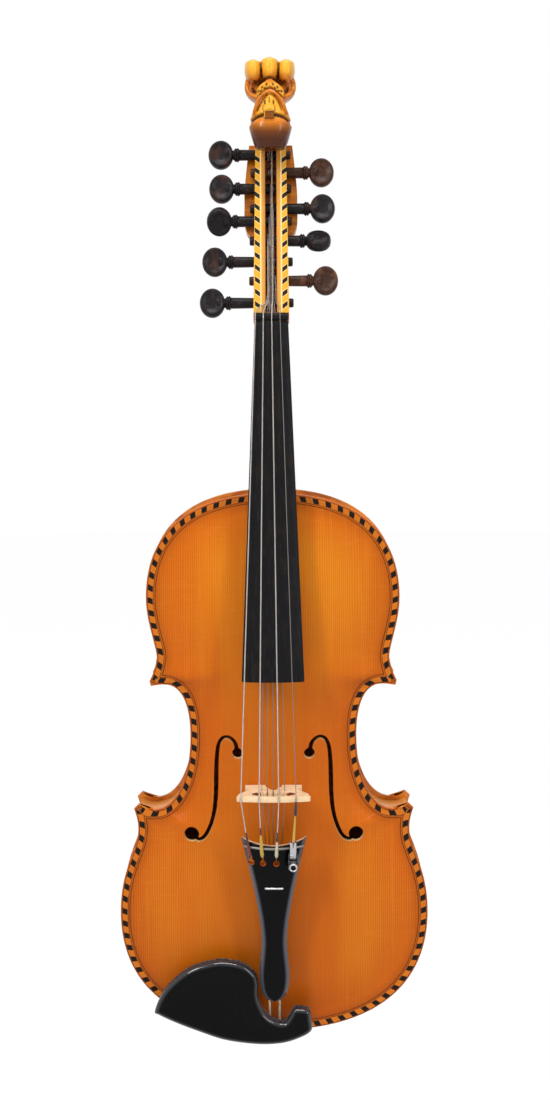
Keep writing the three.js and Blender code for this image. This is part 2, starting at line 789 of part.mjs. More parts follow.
const plateTopAt = -(ribHalf + crownAt(bridgeHeight, topArch));
const bridgeTopY = plateTopAt - bridgeRise;
const bridgeTopAt = (x) => bridgeTopY + bridgeDrop * (x / (bridgeTopWidth / 2)) ** 2;
const nutTopY = -(neckFrontAtNut + fingerboardThickness + nutRise);

const tailpieceMatrix = new THREE.Matrix4()
  .makeTranslation(0, -tailpieceFront, tailpieceBottom)
  .multiply(new THREE.Matrix4().makeRotationX(tailpieceTilt));
const tailpiecePlace = (x, depth, along) => new THREE.Vector3(x, depth, along).applyMatrix4(tailpieceMatrix);
const tailSpreadShare = 1.08;
const curveDrop = (x) => tailpieceCurve - Math.sqrt(tailpieceCurve ** 2 - x ** 2);
const fretAlong = tailpieceLength - fretInset;
const holeAlong = fretAlong - fretToHole;
const stapleAlong = holeAlong - holeToStaple;
const tunerHinge = holeAlong + tunerLeverArm * 0.75;

function playingRoute(string) {
  const { radius, nut, bridge, tail, lane } = string;
  const peg = pegByName.get(string.peg);
  const clear = gap + radius;
  const tailX = tail * tailSpreadShare;
  const forkDepth = curveDrop(tailX) - tunerStand - tunerThickness / 2;
  const start = string.name === 'string_e'
    ? [tailpiecePlace(tailX, forkDepth, tunerHinge + tunerLeverArm * 0.8)]
    : [
      tailpiecePlace(tail, curveDrop(tail) + tailpieceThickness * 0.6, holeAlong),
      tailpiecePlace(tail, curveDrop(tail) + clear, holeAlong + stringHoleRadius * 0.4),
      tailpiecePlace(tailX, curveDrop(tailX) - fretHeight - clear, fretAlong),
    ];
  return [
    ...start,
    new THREE.Vector3(bridge, bridgeTopAt(bridge) - clear, bridgeHeight - bridgeThickness / 3),
    new THREE.Vector3(bridge, bridgeTopAt(bridge) - clear, bridgeHeight + bridgeThickness / 3),
    new THREE.Vector3(nut, nutTopY - clear, nutBottom + nutLength * 0.2),
    new THREE.Vector3(nut, nutTopY - clear, nutTop + gap),
    pegboxPlace((nut + lane) / 2, -playingDepth, nutLength),
    pegboxPlace(lane, playingDepth, 2 * nutLength - playingDepth),
    pegboxPlace(lane, playingDepth * 1.4, Math.max(peg.along - 2 * pegShaftRadius, 2 * nutLength)),
    ...windingPoints(string),
  ];
}

function understringRoute(string) {
  const { radius, nut, bridge, lane } = string;
  const peg = pegByName.get(string.peg);
  const clear = gap + radius;
  const sill = plateTopAt - bridgeSill - clear;
  return [
    tailpiecePlace(bridge / 2, tailpieceThickness + gap + 4 * radius, stapleAlong + 2 * clear),
    new THREE.Vector3(bridge, sill, bridgeHeight - bridgeThickness / 3),
    new THREE.Vector3(bridge, sill, bridgeHeight + bridgeThickness / 3),
    new THREE.Vector3(nut, -(neckFrontAtNut + gap + understringNutRise) - clear, nutBottom + nutLength * 0.3),
    new THREE.Vector3(nut, -(neckFrontAtNut + gap + understringNutRise) - clear, nutBottom + nutLength * 0.6),
    pegboxPlace((nut + lane) / 2, playingDepth * 1.7, nutLength),
    pegboxPlace(lane, understringDepth, 2 * nutLength),
    pegboxPlace(lane, understringDepth, peg.along - 2 * pegShaftRadius),
    ...windingPoints(string),
  ];
}

const fiddle = new THREE.Group();

// Body box
const neckSlot = boxSolid(-heelWidth / 2 - gap, heelWidth / 2 + gap, -ribHeight * 2, heelBack + gap,
  rootBottom - gap, bodyLength + overrun * 5);
const saddleSlot = boxSolid(-saddleWidth / 2 - gap, saddleWidth / 2 + gap, -ribHeight, -ribHalf - gap,
  -overrun, saddleLength + gap);
addPiece(fiddle, 'top_plate', cut(topShell, soundHole(-1), soundHole(1), neckSlot, saddleSlot), spruce);

const buttonShape = new THREE.Shape().absarc(0, bodyLength - overrun, buttonRadius, 0, Math.PI);
const backButton = prism(buttonShape, ribHalf, ribHalf + plateEdge - gap);
addPiece(fiddle, 'back_plate', join(backShell, backButton), maple);

const ribOuter = insetOutline(edgeOverhang);
const ribInner = insetOutline(edgeOverhang + ribThickness);
const buttonHole = toSolid(new THREE.CylinderGeometry(buttonShankRadius + gap, buttonShankRadius + gap,
  4 * buttonShankLength, 16).rotateX(Math.PI / 2));
const ribRing = cut(prism(ribOuter, -ribHalf + gap, ribHalf - gap), prism(ribInner, -ribHalf, ribHalf),
  neckSlot, buttonHole);

// Each rib is the part of the ring between two cuts that run through the corner tips
function cornerCut(tip, angle) {
  const way = point(Math.cos(angle), Math.sin(angle));
  return { out: tip.clone().addScaledVector(way, lowerBoutWidth / 4), tip, way };
}

const lowerCut = cornerCut(point(lowerCornerWidth / 2 - cornerTip / 2, up(lowerCornerShare) + cornerTip / 2),
  THREE.MathUtils.degToRad(50));
const upperCut = cornerCut(point(upperCornerWidth / 2 - cornerTip / 4, up(upperCornerShare) - cornerTip / 2),
  THREE.MathUtils.degToRad(-30));
const cutAtX = ({ tip, way }, x) => point(x, tip.y + (way.y / way.x) * (x - tip.x));
const lift = (p, z) => point(p.x, p.y + z);

function ribZones() {
  const edge = gap / 2;
  const far = lowerBoutWidth;
  const low = point(edge, -far);
  const high = point(edge, bodyLength + far);
  return {
    lower: [low, point(far, -far), lift(lowerCut.out, -edge), lift(cutAtX(lowerCut, edge), -edge)],
    centre: [lift(cutAtX(lowerCut, edge), edge), lift(lowerCut.out, edge), lift(upperCut.out, -edge),
      lift(cutAtX(upperCut, edge), -edge)],
    upper: [lift(cutAtX(upperCut, edge), edge), lift(upperCut.out, edge), point(far, bodyLength + far), high],
  };
}

const zones = ribZones();
for (const [zone, outline] of Object.entries(zones)) {
  for (const [side, sign] of [['treble', 1], ['bass', -1]]) {
    const region = prism(outline.map((p) => point(sign * p.x, p.y)), -ribHeight, ribHeight);
    addPiece(fiddle, `${zone}_rib_${side}`, common(ribRing, region), ribMaple);
  }
}

// Blocks and linings
const blockInset = edgeOverhang + ribThickness + gap;
const inside = prism(insetOutline(blockInset), -ribHalf + gap, ribHalf - gap);
const liningInner = prism(insetOutline(blockInset + liningWidth), -ribHeight, ribHeight);
const blockZone = (half, zMin, zMax) => boxSolid(-half, half, -ribHalf, ribHalf, zMin, zMax);
const neckBlockZone = (clear) => blockZone(neckBlockWidth / 2 + clear,
  bodyLength - neckBlockLength - blockInset - clear, bodyLength);
const endBlockZone = (clear) => blockZone(endBlockWidth / 2 + clear, 0, endBlockLength + blockInset + clear);

addPiece(fiddle, 'neck_block', cut(common(inside, neckBlockZone(0)), neckSlot), rawSpruce);
addPiece(fiddle, 'end_block', cut(common(inside, endBlockZone(0)), buttonHole), rawSpruce);

const wideLining = cut(prism(insetOutline(blockInset - gap / 2), -ribHalf, ribHalf),
  prism(insetOutline(blockInset + liningWidth + gap), -ribHeight, ribHeight));
const liningSlots = cut(wideLining, boxSolid(-lowerBoutWidth, lowerBoutWidth,
  -ribHalf + liningHeight + gap, ribHalf - liningHeight - gap, -overrun, bodyLength + overrun));

function cornerBlock(corner, sign) {
  const across = point(-corner.way.y, corner.way.x);
  const at = (along, aside) => corner.tip.clone()
    .addScaledVector(corner.way, along).addScaledVector(across, aside);
  const wide = cornerBlockLength;
  const zone = [at(wide, -wide), at(wide, wide), at(-cornerBlockLength, wide), at(-cornerBlockLength, -wide)];
  const region = prism(zone.map((p) => point(sign * p.x, p.y)), -ribHeight, ribHeight);
  return cut(common(inside, region), liningSlots);
}

for (const [side, sign] of [['treble', 1], ['bass', -1]]) {
  addPiece(fiddle, `lower_corner_block_${side}`, cornerBlock(lowerCut, sign), rawSpruce);
  addPiece(fiddle, `upper_corner_block_${side}`, cornerBlock(upperCut, sign), rawSpruce);
  const half = sign > 0 ? [gap, lowerBoutWidth] : [-lowerBoutWidth, -gap];
  const ring = cut(inside, liningInner, neckBlockZone(gap), endBlockZone(gap));
  const front = boxSolid(...half, -ribHalf, -ribHalf + liningHeight, 0, bodyLength);
  const back = boxSolid(...half, ribHalf - liningHeight, ribHalf, 0, bodyLength);
  addPiece(fiddle, `top_lining_${side}`, common(ring, front), rawSpruce);
  addPiece(fiddle, `back_lining_${side}`, common(ring, back), rawSpruce);
}

// Bass bar under the bass foot of the bridge, sound post behind the treble foot
const footCentre = bridgeFootSpan / 2 - bridgeTopWidth / 12;
const barLength = bodyLength * bassBarShare;
const barBottom = bridgeHeight - barLength * 0.5;
const barSide = new THREE.Shape();
barSide.moveTo(0, 0);
barSide.lineTo(barLength, 0);
barSide.lineTo(barLength, -topArch * 0.75);
barSide.quadraticCurveTo(barLength / 2, -topArch * 0.4 - bassBarHeight * 2, 0, -topArch * 0.75);
const barGeometry = new THREE.ExtrudeGeometry(barSide, {
  depth: bassBarWidth, bevelEnabled: false, curveSegments: 8,
});
const barAxes = new THREE.Matrix4().makeBasis(new THREE.Vector3(0, 0, 1), new THREE.Vector3(0, -1, 0),
  new THREE.Vector3(1, 0, 0));
barGeometry.applyMatrix4(barAxes).translate(-footCentre - bassBarWidth / 2, -ribHalf - topArch, barBottom);
addPiece(fiddle, 'bass_bar', cut(toSolid(barGeometry), aboveTop), rawSpruce);

const postFront = -ribHalf - topArch + plateThickness / 2;
const postBack = ribHalf + backArch - plateThickness;
const postSolid = toSolid(new THREE.CylinderGeometry(soundPostDiameter / 2, soundPostDiameter / 2,
  postBack - postFront, 12)
  .translate(footCentre, (postFront + postBack) / 2, bridgeHeight - soundPostDiameter * 1.3));
addPiece(fiddle, 'sound_post', cut(postSolid, aboveTop, behindBack), rawSpruce);

// Neck and pegbox in one piece
const pegHoles = pegs.map(pegHole);
const nutSeat = boxSolid(-pegboxWidth, pegboxWidth, -neckFrontAtNut - pegboxDepth, -neckFrontAtNut,
  nutBottom - nutLength, nutTop + gap);
addPiece(fiddle, 'neck_pegbox',
  cut(join(neckSolid(), pegboxSolid()), nutSeat, pegboxChannel(), ...pegHoles), headMaple);

// Fingerboard: arched above, hollow below for the understrings
const fingerboardBottom = nutBottom - fingerboardLength;
const stringShareAt = (z) => (nutBottom - z) / (nutBottom - bridgeHeight);
const stringLineAt = (z) => THREE.MathUtils.lerp(nutTopY, bridgeTopY, stringShareAt(z));
const fingerboardEndRise = -stringLineAt(fingerboardBottom) - stringAction
  - neckFrontAtNut - fingerboardThickness;
const boardShareAt = (z) => (nutBottom - z) / fingerboardLength;
const boardTopAt = (z) => -(neckFrontAtNut + fingerboardThickness + fingerboardEndRise * boardShareAt(z));
const boardWidthAt = (z) => neckWidth + (fingerboardEndWidth - neckWidth) * boardShareAt(z);

function boardLoop(z, bottom) {
  const half = boardWidthAt(z) / 2;
  const loop = [new THREE.Vector3(half, bottom, z), new THREE.Vector3(-half, bottom, z)];
  for (let i = 0; i <= 8; i += 1) {
    const share = -1 + i / 4;
    const crown = fingerboardCrown * share ** 2 * (boardWidthAt(z) / fingerboardEndWidth);
    loop.push(new THREE.Vector3(half * share, boardTopAt(z) + crown, z));
  }
  return loop.reverse();
}

function fingerboardSolid() {
  const free = bodyLength - gap;
  const end = boardTopAt(fingerboardBottom) + fingerboardEndThickness;
  const body = loft([
    boardLoop(fingerboardBottom, end),
    boardLoop(free, neckFrontAt(free) - gap),
    boardLoop(nutBottom - gap, neckFrontAt(nutBottom) - gap),
  ]);
  const ceiling = fingerboardCrown + plateThickness / 2;
  const widest = understrings.map(({ nut, bridge }) => (
    Math.abs(THREE.MathUtils.lerp(nut, bridge, stringShareAt(fingerboardBottom)))));
  const endHalf = Math.max(...widest) + understringRadius + 3 * gap;
  const grooveLoop = (half, z, top) => [
    new THREE.Vector3(-half, top, z), new THREE.Vector3(half, top, z),
    new THREE.Vector3(half, 0, z), new THREE.Vector3(-half, 0, z),
  ];
  const groove = loft([
    grooveLoop(endHalf, fingerboardBottom - overrun, boardTopAt(fingerboardBottom) + ceiling),
    grooveLoop(grooveWidth / 2, nutBottom + overrun, boardTopAt(nutBottom) + ceiling * 0.75),
  ]);
  return cut(body, groove);
}

addPiece(fiddle, 'fingerboard', fingerboardSolid(), ebony);
const nutArch = boxSolid(-grooveWidth / 2, grooveWidth / 2, nutTopY + fingerboardThickness / 2, 0,
  nutBottom - overrun, nutTop + overrun);
const nutBlock = boxSolid(-neckWidth / 2, neckWidth / 2, nutTopY, -neckFrontAtNut - gap, nutBottom, nutTop);
addPiece(fiddle, 'nut', cut(nutBlock, nutArch), ebony);
const seatY = -neckFrontAtNut - gap;
addPiece(fiddle, 'understring_nut', boxSolid(-grooveWidth / 2 + gap, grooveWidth / 2 - gap,
  seatY - understringNutRise, seatY, nutBottom + gap, nutTop - nutLength / 3), bone);

// Pegs in the tilted pegbox frame
const pegboxFrame = new THREE.Group();
pegboxFrame.applyMatrix4(pegboxMatrix);
fiddle.add(pegboxFrame);
for (const peg of pegs) {
  const mesh = addPiece(pegboxFrame, peg.name, pegSolid(peg), pegWood);
  mesh.position.set(0, pegDepth, peg.along);
  mesh.rotation.x = peg.turn;
}

// Strings
let selfGap = Infinity;
const routed = [
  ...playingStrings.map((string) => ({ string, route: playingRoute(string) })),
  ...understrings.map((string) => ({ string, route: understringRoute(string) })),
];
for (const { string, route } of routed) {
  addPiece(fiddle, string.name, tube(route, string.radius, windingSides), steel);
  const apart = Math.round(windingSteps * 0.75);
  selfGap = Math.min(selfGap, leastSelfGap(windingPoints(string), string.radius, apart));
}
console.log(`least gap between the turns of a string: ${selfGap.toFixed(2)} mm`);

// Bridge: feet on the plate, eyes, heart notch and a window with a sill for the understrings
function bridgeShape() {
  const top = bridgeTopWidth / 2;
  const foot = bridgeFootSpan / 2;
  const rightShares = [[0.45, 0.1], [0.36, 0.14], [0.3, 0], [1, 0], [1, 0.06], [0.7, 0.12], [0.66, 0.3],
    [0.74, 0.45], [0.98, 0.6], [1.07, 0.78], [1.07, 0.86]];
  const right = rightShares.map(([x, h]) => point(x * foot, h * bridgeRise));
  const crown = [];
  for (let i = 0; i <= 8; i += 1) {
    const x = top * (1 - i / 4);
    crown.push(point(x, bridgeTopAt(0) - bridgeTopAt(x) + bridgeRise));
  }
  const left = right.map((p) => point(-p.x, p.y)).reverse();
  const shape = new THREE.Shape([...right, ...crown, ...left]);
  const frame = new THREE.Path();
  frame.moveTo(-windowHalf, bridgeSill);
  frame.lineTo(windowHalf, bridgeSill);
  frame.lineTo(windowHalf, bridgeSill * 1.4);
  frame.lineTo(-windowHalf, bridgeSill * 1.4);
  shape.holes.push(frame);
  for (const sign of [-1, 1]) {
    shape.holes.push(new THREE.Path().absellipse(sign * foot * 0.78, bridgeRise * 0.77, foot * 0.16,
      bridgeRise * 0.075, 0, 2 * Math.PI));
  }
  return shape;
}

const bridgeGeometry = new THREE.ExtrudeGeometry(bridgeShape(), {
  depth: bridgeThickness, bevelEnabled: false, curveSegments: 5,
});
bridgeGeometry.translate(0, 0, -bridgeThickness / 2);
const bridgeAxes = new THREE.Matrix4().makeBasis(new THREE.Vector3(1, 0, 0), new THREE.Vector3(0, -1, 0),
  new THREE.Vector3(0, 0, -1));
bridgeGeometry.applyMatrix4(bridgeAxes).translate(0, plateTopAt, bridgeHeight);
const footFill = boxSolid(-bridgeFootSpan / 2, bridgeFootSpan / 2, plateTopAt, plateTopAt + plateThickness,
  bridgeHeight - bridgeThickness / 2, bridgeHeight + bridgeThickness / 2);
const footGap = boxSolid(-bridgeFootSpan * 0.15, bridgeFootSpan * 0.15, plateTopAt - gap,
  plateTopAt + 2 * plateThickness, bridgeHeight - bridgeThickness, bridgeHeight + bridgeThickness);
const plateUnderFeet = topShell.translate([0, -gap, 0]);
addPiece(fiddle, 'bridge',
  cut(join(toSolid(bridgeGeometry), cut(footFill, footGap)), plateUnderFeet), bridgeMaple);

// Tailpiece, its fret, the staple of the understrings and the gut that holds it
const tailpieceFrame = new THREE.Group();
tailpieceFrame.applyMatrix4(tailpieceMatrix);
fiddle.add(tailpieceFrame);

function tailpieceOutline() {
  const half = tailpieceWidth / 2;
  const sideShares = [[0.14, 0.005], [0.36, 0.04], [0.46, 0.12], [0.46, 0.2], [0.4, 0.32], [0.39, 0.4],
    [0.46, 0.53], [0.63, 0.71], [0.8, 0.85], [1, 1]];
  const side = sideShares.map(([x, z]) => point(x * half, z * tailpieceLength));
  const dip = [point(half * 0.5, tailpieceLength * 0.978), point(0, tailpieceLength * 0.968),
    point(-half * 0.5, tailpieceLength * 0.978)];
  return [...side, ...dip, ...side.map((p) => point(-p.x, p.y)).reverse()];
}

function roundBar(radius, from, to) {
  const geometry = new THREE.CylinderGeometry(radius, radius, to - from, 72).rotateX(Math.PI / 2);
  return toSolid(geometry.translate(0, tailpieceCurve, (from + to) / 2));
}

const fretRing = (outer, inner, clear) => cut(
  roundBar(outer, fretAlong - fretLength / 2 - clear, fretAlong + fretLength / 2 + clear),
  roundBar(inner, 0, 2 * tailpieceLength),
);
const fretHalf = tailpieceWidth * 0.46;
const fretCrop = (clear) => boxSolid(-fretHalf - clear, fretHalf + clear,
  -tailpieceThickness, tailpieceThickness, 0, 2 * tailpieceLength);
const throughHole = (x, along, radius) => prism(new THREE.Shape().absarc(x, along, radius, 0, 2 * Math.PI),
  -2 * tailpieceThickness, 2 * tailpieceThickness);
const slotAt = (x) => boxSolid(x - stringHoleRadius / 2, x + stringHoleRadius / 2, -tailpieceThickness,
  curveDrop(x) + tailpieceThickness / 2, holeAlong, holeAlong + 3 * stringHoleRadius);
const tunerX = playingStrings.at(-1).tail * tailSpreadShare;
const gutDepth = tailpieceThickness * 0.62;
const gutHoleLength = tailpieceLength / 6;
const gutHole = (x) => toSolid(new THREE.CylinderGeometry(gutRadius + gap, gutRadius + gap, gutHoleLength, 10)
  .rotateX(Math.PI / 2).translate(x, gutDepth, 0));

const tailpieceBlank = prism(tailpieceOutline(), 0, tailpieceThickness);
const tailpieceSolid = cut(
  common(tailpieceBlank, roundBar(tailpieceCurve, -overrun, tailpieceLength + overrun)),
  common(fretRing(tailpieceCurve + overrun, tailpieceCurve - overrun - gap, gap), fretCrop(gap)),
  ...playingStrings.slice(0, -1).flatMap(({ tail }) => [
    throughHole(tail, holeAlong, stringHoleRadius), slotAt(tail)]),
  throughHole(tunerX, holeAlong, stringHoleRadius + tunerRodRadius / 2),
  ...[-stapleHalf, stapleHalf].map((x) => throughHole(x, stapleAlong, stapleRadius + gap)),
  gutHole(-gutSpread), gutHole(gutSpread),
);
addPiece(tailpieceFrame, 'tailpiece', tailpieceSolid, ebony);
addPiece(tailpieceFrame, 'tailpiece_fret',
  common(fretRing(tailpieceCurve + fretHeight, tailpieceCurve - overrun, 0), fretCrop(0)), ebony);

const stapleTop = -stapleRadius - gap;
const stapleBottom = tailpieceThickness + gap + stapleRadius;
addPiece(tailpieceFrame, 'understring_staple', tube([
  new THREE.Vector3(-stapleHalf, stapleBottom, stapleAlong),
  new THREE.Vector3(-stapleHalf, stapleTop + stapleRadius, stapleAlong),
  new THREE.Vector3(-stapleHalf + stapleRadius, stapleTop, stapleAlong),
  new THREE.Vector3(stapleHalf - stapleRadius, stapleTop, stapleAlong),
  new THREE.Vector3(stapleHalf, stapleTop + stapleRadius, stapleAlong),
  new THREE.Vector3(stapleHalf, stapleBottom, stapleAlong),
], stapleRadius, 8), steel);

// Saddle, end button and tail gut
const saddleFront = -ribHalf - plateEdge - saddleRise;
addPiece(fiddle, 'saddle', boxSolid(-saddleWidth / 2, saddleWidth / 2, saddleFront, -ribHalf - 2 * gap,
  -edgeRound, saddleLength), ebony);
const buttonTop = -edgeOverhang;

function endButton() {
  const profile = [
    [0, buttonShankLength], [buttonShankRadius * 0.9, buttonShankLength],
    [buttonShankRadius, buttonTop + edgeOverhang * 1.5], [buttonShankRadius, buttonTop + edgeOverhang - gap],
    [buttonShankRadius + 2 * gap, buttonTop + edgeOverhang - gap],
    [buttonNeckRadius, buttonTop], [buttonNeckRadius, buttonTop - 3 * gutRadius],
    [buttonHeadRadius, buttonTop - 3 * gutRadius - buttonLength / 6],
    [buttonHeadRadius * 0.95, -buttonLength], [0, -buttonLength],
  ];
  const geometry = new THREE.LatheGeometry(profile.map(([r, z]) => point(r, z)).reverse(), 14);
  return toSolid(geometry.rotateX(Math.PI / 2));
}

addPiece(fiddle, 'end_button', endButton(), ebony);

function gutRoute() {
  const side = [
    tailpiecePlace(gutSpread, gutDepth, gutHoleLength * 0.43),
    tailpiecePlace(gutSpread, gutDepth, -2 * gutRadius),
    new THREE.Vector3(gutSpread, saddleFront - gutRadius - gap, saddleLength - gutRadius),
    new THREE.Vector3(gutSpread, saddleFront - gutRadius - gap, -edgeRound - gutRadius * 0.6),
    new THREE.Vector3(gutSpread, saddleFront + 1.7 * gutRadius, -edgeRound - gutRadius * 2.7),
  ];
  const loopRadius = buttonNeckRadius + gap + gutRadius / Math.cos(Math.PI / 12);
  const loopZ = buttonTop - 1.5 * gutRadius;
  const loop = [];
  for (let i = 0; i <= 12; i += 1) {
    const angle = (i / 12) * Math.PI;
    loop.push(new THREE.Vector3(loopRadius * Math.cos(angle), loopRadius * Math.sin(angle), loopZ));
  }
  const other = side.map((p) => new THREE.Vector3(-p.x, p.y, p.z)).reverse();
  return [...side, ...loop, ...other];
}

addPiece(fiddle, 'tail_gut', tube(gutRoute(), gutRadius, 8), gut);

// Fine tuner: a frame round the hole, a lever that lifts the string and a screw that presses it
const tunerTop = curveDrop(tunerX) - tunerStand;
const tunerLip = tunerThickness / 8;
const legAt = (x) => boxSolid(x, x + tunerThickness / 2, tunerTop + tunerLip, Math.min(curveDrop(x),
  curveDrop(x + tunerThickness / 2)) - gap, holeAlong - tunerScrewRadius + tunerLip,
  tunerHinge + tunerThickness);
const tunerFrame = join(
  boxSolid(tunerX - tunerWidth / 2 - tunerLip, tunerX + tunerWidth / 2 + tunerLip, tunerTop,
    tunerTop + tunerThickness, holeAlong - tunerScrewRadius, holeAlong + tunerScrewRadius),
  legAt(tunerX - tunerWidth / 2),
  legAt(tunerX + tunerWidth / 2 - tunerThickness / 2),
);
addPiece(tailpieceFrame, 'fine_tuner_frame',
  cut(tunerFrame, throughHole(tunerX, holeAlong, tunerRodRadius + gap)), steel);

const screwHead = tunerTop - gap;
const screwTop = screwHead - tunerScrewRadius * 1.5;
const screwEnd = tunerTop + tunerThickness + tunerPlate;
const screwProfile = [[0, screwEnd], [tunerRodRadius, screwEnd], [tunerRodRadius, screwHead],
  [tunerScrewRadius, screwHead], [tunerScrewRadius, screwTop], [0, screwTop]];
const screwSolid = toSolid(new THREE.LatheGeometry(screwProfile.map(([r, y]) => point(r, y)).reverse(), 16));
addPiece(tailpieceFrame, 'fine_tuner_screw', screwSolid, steel).position.set(tunerX, 0, holeAlong);

// The screw's tip presses the short arm of the lever, and the fork of its long arm holds the string
const leverHalf = tunerWidth / 2 - tunerThickness / 2 - gap;
const forkGap = thinRadius + gap;
const armTop = tunerTop + tunerThickness + gap;
const armBottom = screwEnd + gap + tunerPlate;
const leverEnd = tunerHinge + tunerLeverArm * 1.2;
const forkBottom = armTop + tunerPlate;
const leverBox = (left, right, top, bottom, from, to) => (
  boxSolid(tunerX + left, tunerX + right, top, bottom, from, to));
const prong = (left, right) => leverBox(left, right, tunerTop - tunerThickness, forkBottom,
  leverEnd - tunerLeverArm * 0.3, leverEnd);
const lever = join(
  leverBox(-leverHalf, leverHalf, armTop, forkBottom, tunerHinge - tunerThickness, leverEnd),
  leverBox(-leverHalf, leverHalf, armTop, armBottom, tunerHinge - tunerThickness, tunerHinge),
  leverBox(-leverHalf, leverHalf, screwEnd + gap, armBottom, holeAlong - tunerRodRadius, tunerHinge),
  prong(-leverHalf, -forkGap),
  prong(forkGap, leverHalf),
);
addPiece(tailpieceFrame, 'fine_tuner_lever', lever, steel);

// Chin rest: a dished plate with two feet, cork, and a clamp of two barrels
const upperCupShares = [[0, 0.41], [0.098, 0.66], [0.31, 0.89], [0.521, 0.98], [0.68, 1], [0.861, 0.955],
  [0.971, 0.85], [1, 0.735], [1, 0.587]];
const hornShares = [[0.086, 0.427], [0.246, 0.31], [0.473, 0.268], [0.586, 0.355], [0.68, 0.434],
  [0.953, 0.414], [1, 0.31], [1, 0.16], [0.749, 0.065], [0.408, 0.007]];
const lowerCupShares = [[0.974, 0], [0.68, 0.05], [0.447, 0.144], [0.215, 0.254], [0.041, 0.355]];
const chinrestCupRight = tailpieceWidth * 0.23 + chinrestClearance;
const chinrestLeft = chinrestCupRight + chinrestCupWidth;
const chinrestRight = chinrestHornReach - chinrestCupRight;
const chinrestUp = (share) => -chinrestDrop + share * chinrestLength;
const cupPoint = ([x, z]) => point(-chinrestLeft + x * chinrestCupWidth, chinrestUp(z));
const hornPoint = ([x, z]) => point(-chinrestCupRight + x * chinrestHornReach, chinrestUp(z));
const chinrestOutline = [...upperCupShares.map(cupPoint), ...hornShares.map(hornPoint),
  ...lowerCupShares.map(cupPoint)];
const chinrestBack = -chinrestFront + chinrestThickness;
const footFront = -ribHalf - plateEdge - gap - corkThickness - gap;
const backCorkFront = ribHalf + plateEdge + gap;
const clampFront = backCorkFront + corkThickness + gap;
const leftFoot = [-chinrestLeft * 0.55, -saddleWidth / 2 - 2 * gap];
const rightFoot = [saddleWidth / 2 + 2 * gap, chinrestRight - gap];

// The barrels stand just outside the edge of the body
function edgeAt(x) {
  const run = stretches.lower;
  const next = run.findIndex((p) => p.x > Math.abs(x));
  const share = (Math.abs(x) - run[next - 1].x) / (run[next].x - run[next - 1].x);
  return THREE.MathUtils.lerp(run[next - 1].y, run[next].y, share);
}

const lugRadius = barrelRodRadius + gap + lugWall;
const barrelPlaces = [-chinrestLeft * 0.47, leftFoot[1] - lugRadius].map((x) => (
  point(x, edgeAt(x) - 2 * gap - barrelRadius)));
const barrelHoles = (radius, yFront, yBack) => barrelPlaces.map((place) => (
  prism(new THREE.Shape().absarc(place.x, place.y, radius, 0, 2 * Math.PI), yFront, yBack)));
const lugs = (yFront, yBack) => barrelPlaces.map((place) => (
  boxSolid(place.x - lugRadius, place.x + lugRadius, yFront, yBack, place.y - lugRadius, clampReach)));
const edgeZone = (yFront, yBack) => prism(insetOutline(-gap), yFront, yBack);

function chinrestPlate() {
  const slab = prism(chinrestOutline, -chinrestFront, chinrestBack);
  const dishRadii = [chinrestCupWidth * 0.453, chinrestDish, chinrestLength * 0.4];
  const dishCentre = [-chinrestLeft + chinrestCupWidth * 0.574, -chinrestFront, chinrestLength * 0.52];
  const footTop = chinrestBack - chinrestDish / 2;
  const feet = [leftFoot, rightFoot].map(([from, to]) => common(
    boxSolid(from, to, footTop, footFront, -clampReach, clampReach),
    prism(chinrestOutline, footTop, footFront),
  ));
  return cut(join(cut(slab, ellipsoid(dishCentre, dishRadii, 24, 12)), ...feet,
    ...lugs(footFront - clampDepth - lugWall, footFront)),
    ...barrelHoles(barrelRodRadius + gap, footFront - clampDepth, 0));
}

addPiece(fiddle, 'chinrest_plate', chinrestPlate(), ebony);

const corkSlice = ([from, to], yFront, yBack) => common(
  prism(insetOutline(edgeRound + gap), yFront, yBack),
  boxSolid(from, to, yFront - overrun, yBack + overrun, -overrun, clampReach),
);
const topCork = (foot) => cut(corkSlice(foot, footFront + gap, -ribHalf - plateEdge - gap), plateUnderFeet);
addPiece(fiddle, 'chinrest_cork_left', topCork(leftFoot), cork);
addPiece(fiddle, 'chinrest_cork_right', topCork(rightFoot), cork);
addPiece(fiddle, 'chinrest_cork_back', cut(corkSlice(leftFoot, backCorkFront, backCorkFront + corkThickness),
  backShell.translate([0, gap, 0])), cork);

const clampBar = common(boxSolid(...leftFoot, clampFront, clampFront + clampDepth, -clampReach, clampReach),
  edgeZone(clampFront, clampFront + clampDepth));
addPiece(fiddle, 'chinrest_clamp_foot', cut(join(clampBar, ...lugs(clampFront, clampFront + clampDepth)),
  ...barrelHoles(barrelRodRadius + gap, 0, clampFront + clampDepth * 0.7)), steel);

barrelPlaces.forEach((place, i) => {
  const front = footFront - clampDepth + gap;
  const back = clampFront + clampDepth * 0.7 - gap;
  const middle = (footFront + clampFront) / 2;
  const profile = [[0, back], [barrelRodRadius, back], [barrelRodRadius, middle + barrelLength / 2],
    [barrelRadius, middle + barrelLength / 2], [barrelRadius, middle - barrelLength / 2],
    [barrelRodRadius, middle - barrelLength / 2], [barrelRodRadius, front], [0, front]];
  const geometry = new THREE.LatheGeometry(profile.map(([r, y]) => point(r, y)).reverse(), 12);
  addPiece(fiddle, `chinrest_barrel_${i + 1}`, toSolid(geometry), steel).position.set(place.x, 0, place.y);
});

// Carved head: crown lobes, face, jaw and collar, seated on the end of the pegbox
const headFrame = new THREE.Group();
const headSeat = pegboxPlace(0, 0, pegboxLength - bevelWidth);
headFrame.position.copy(headSeat);
fiddle.add(headFrame);

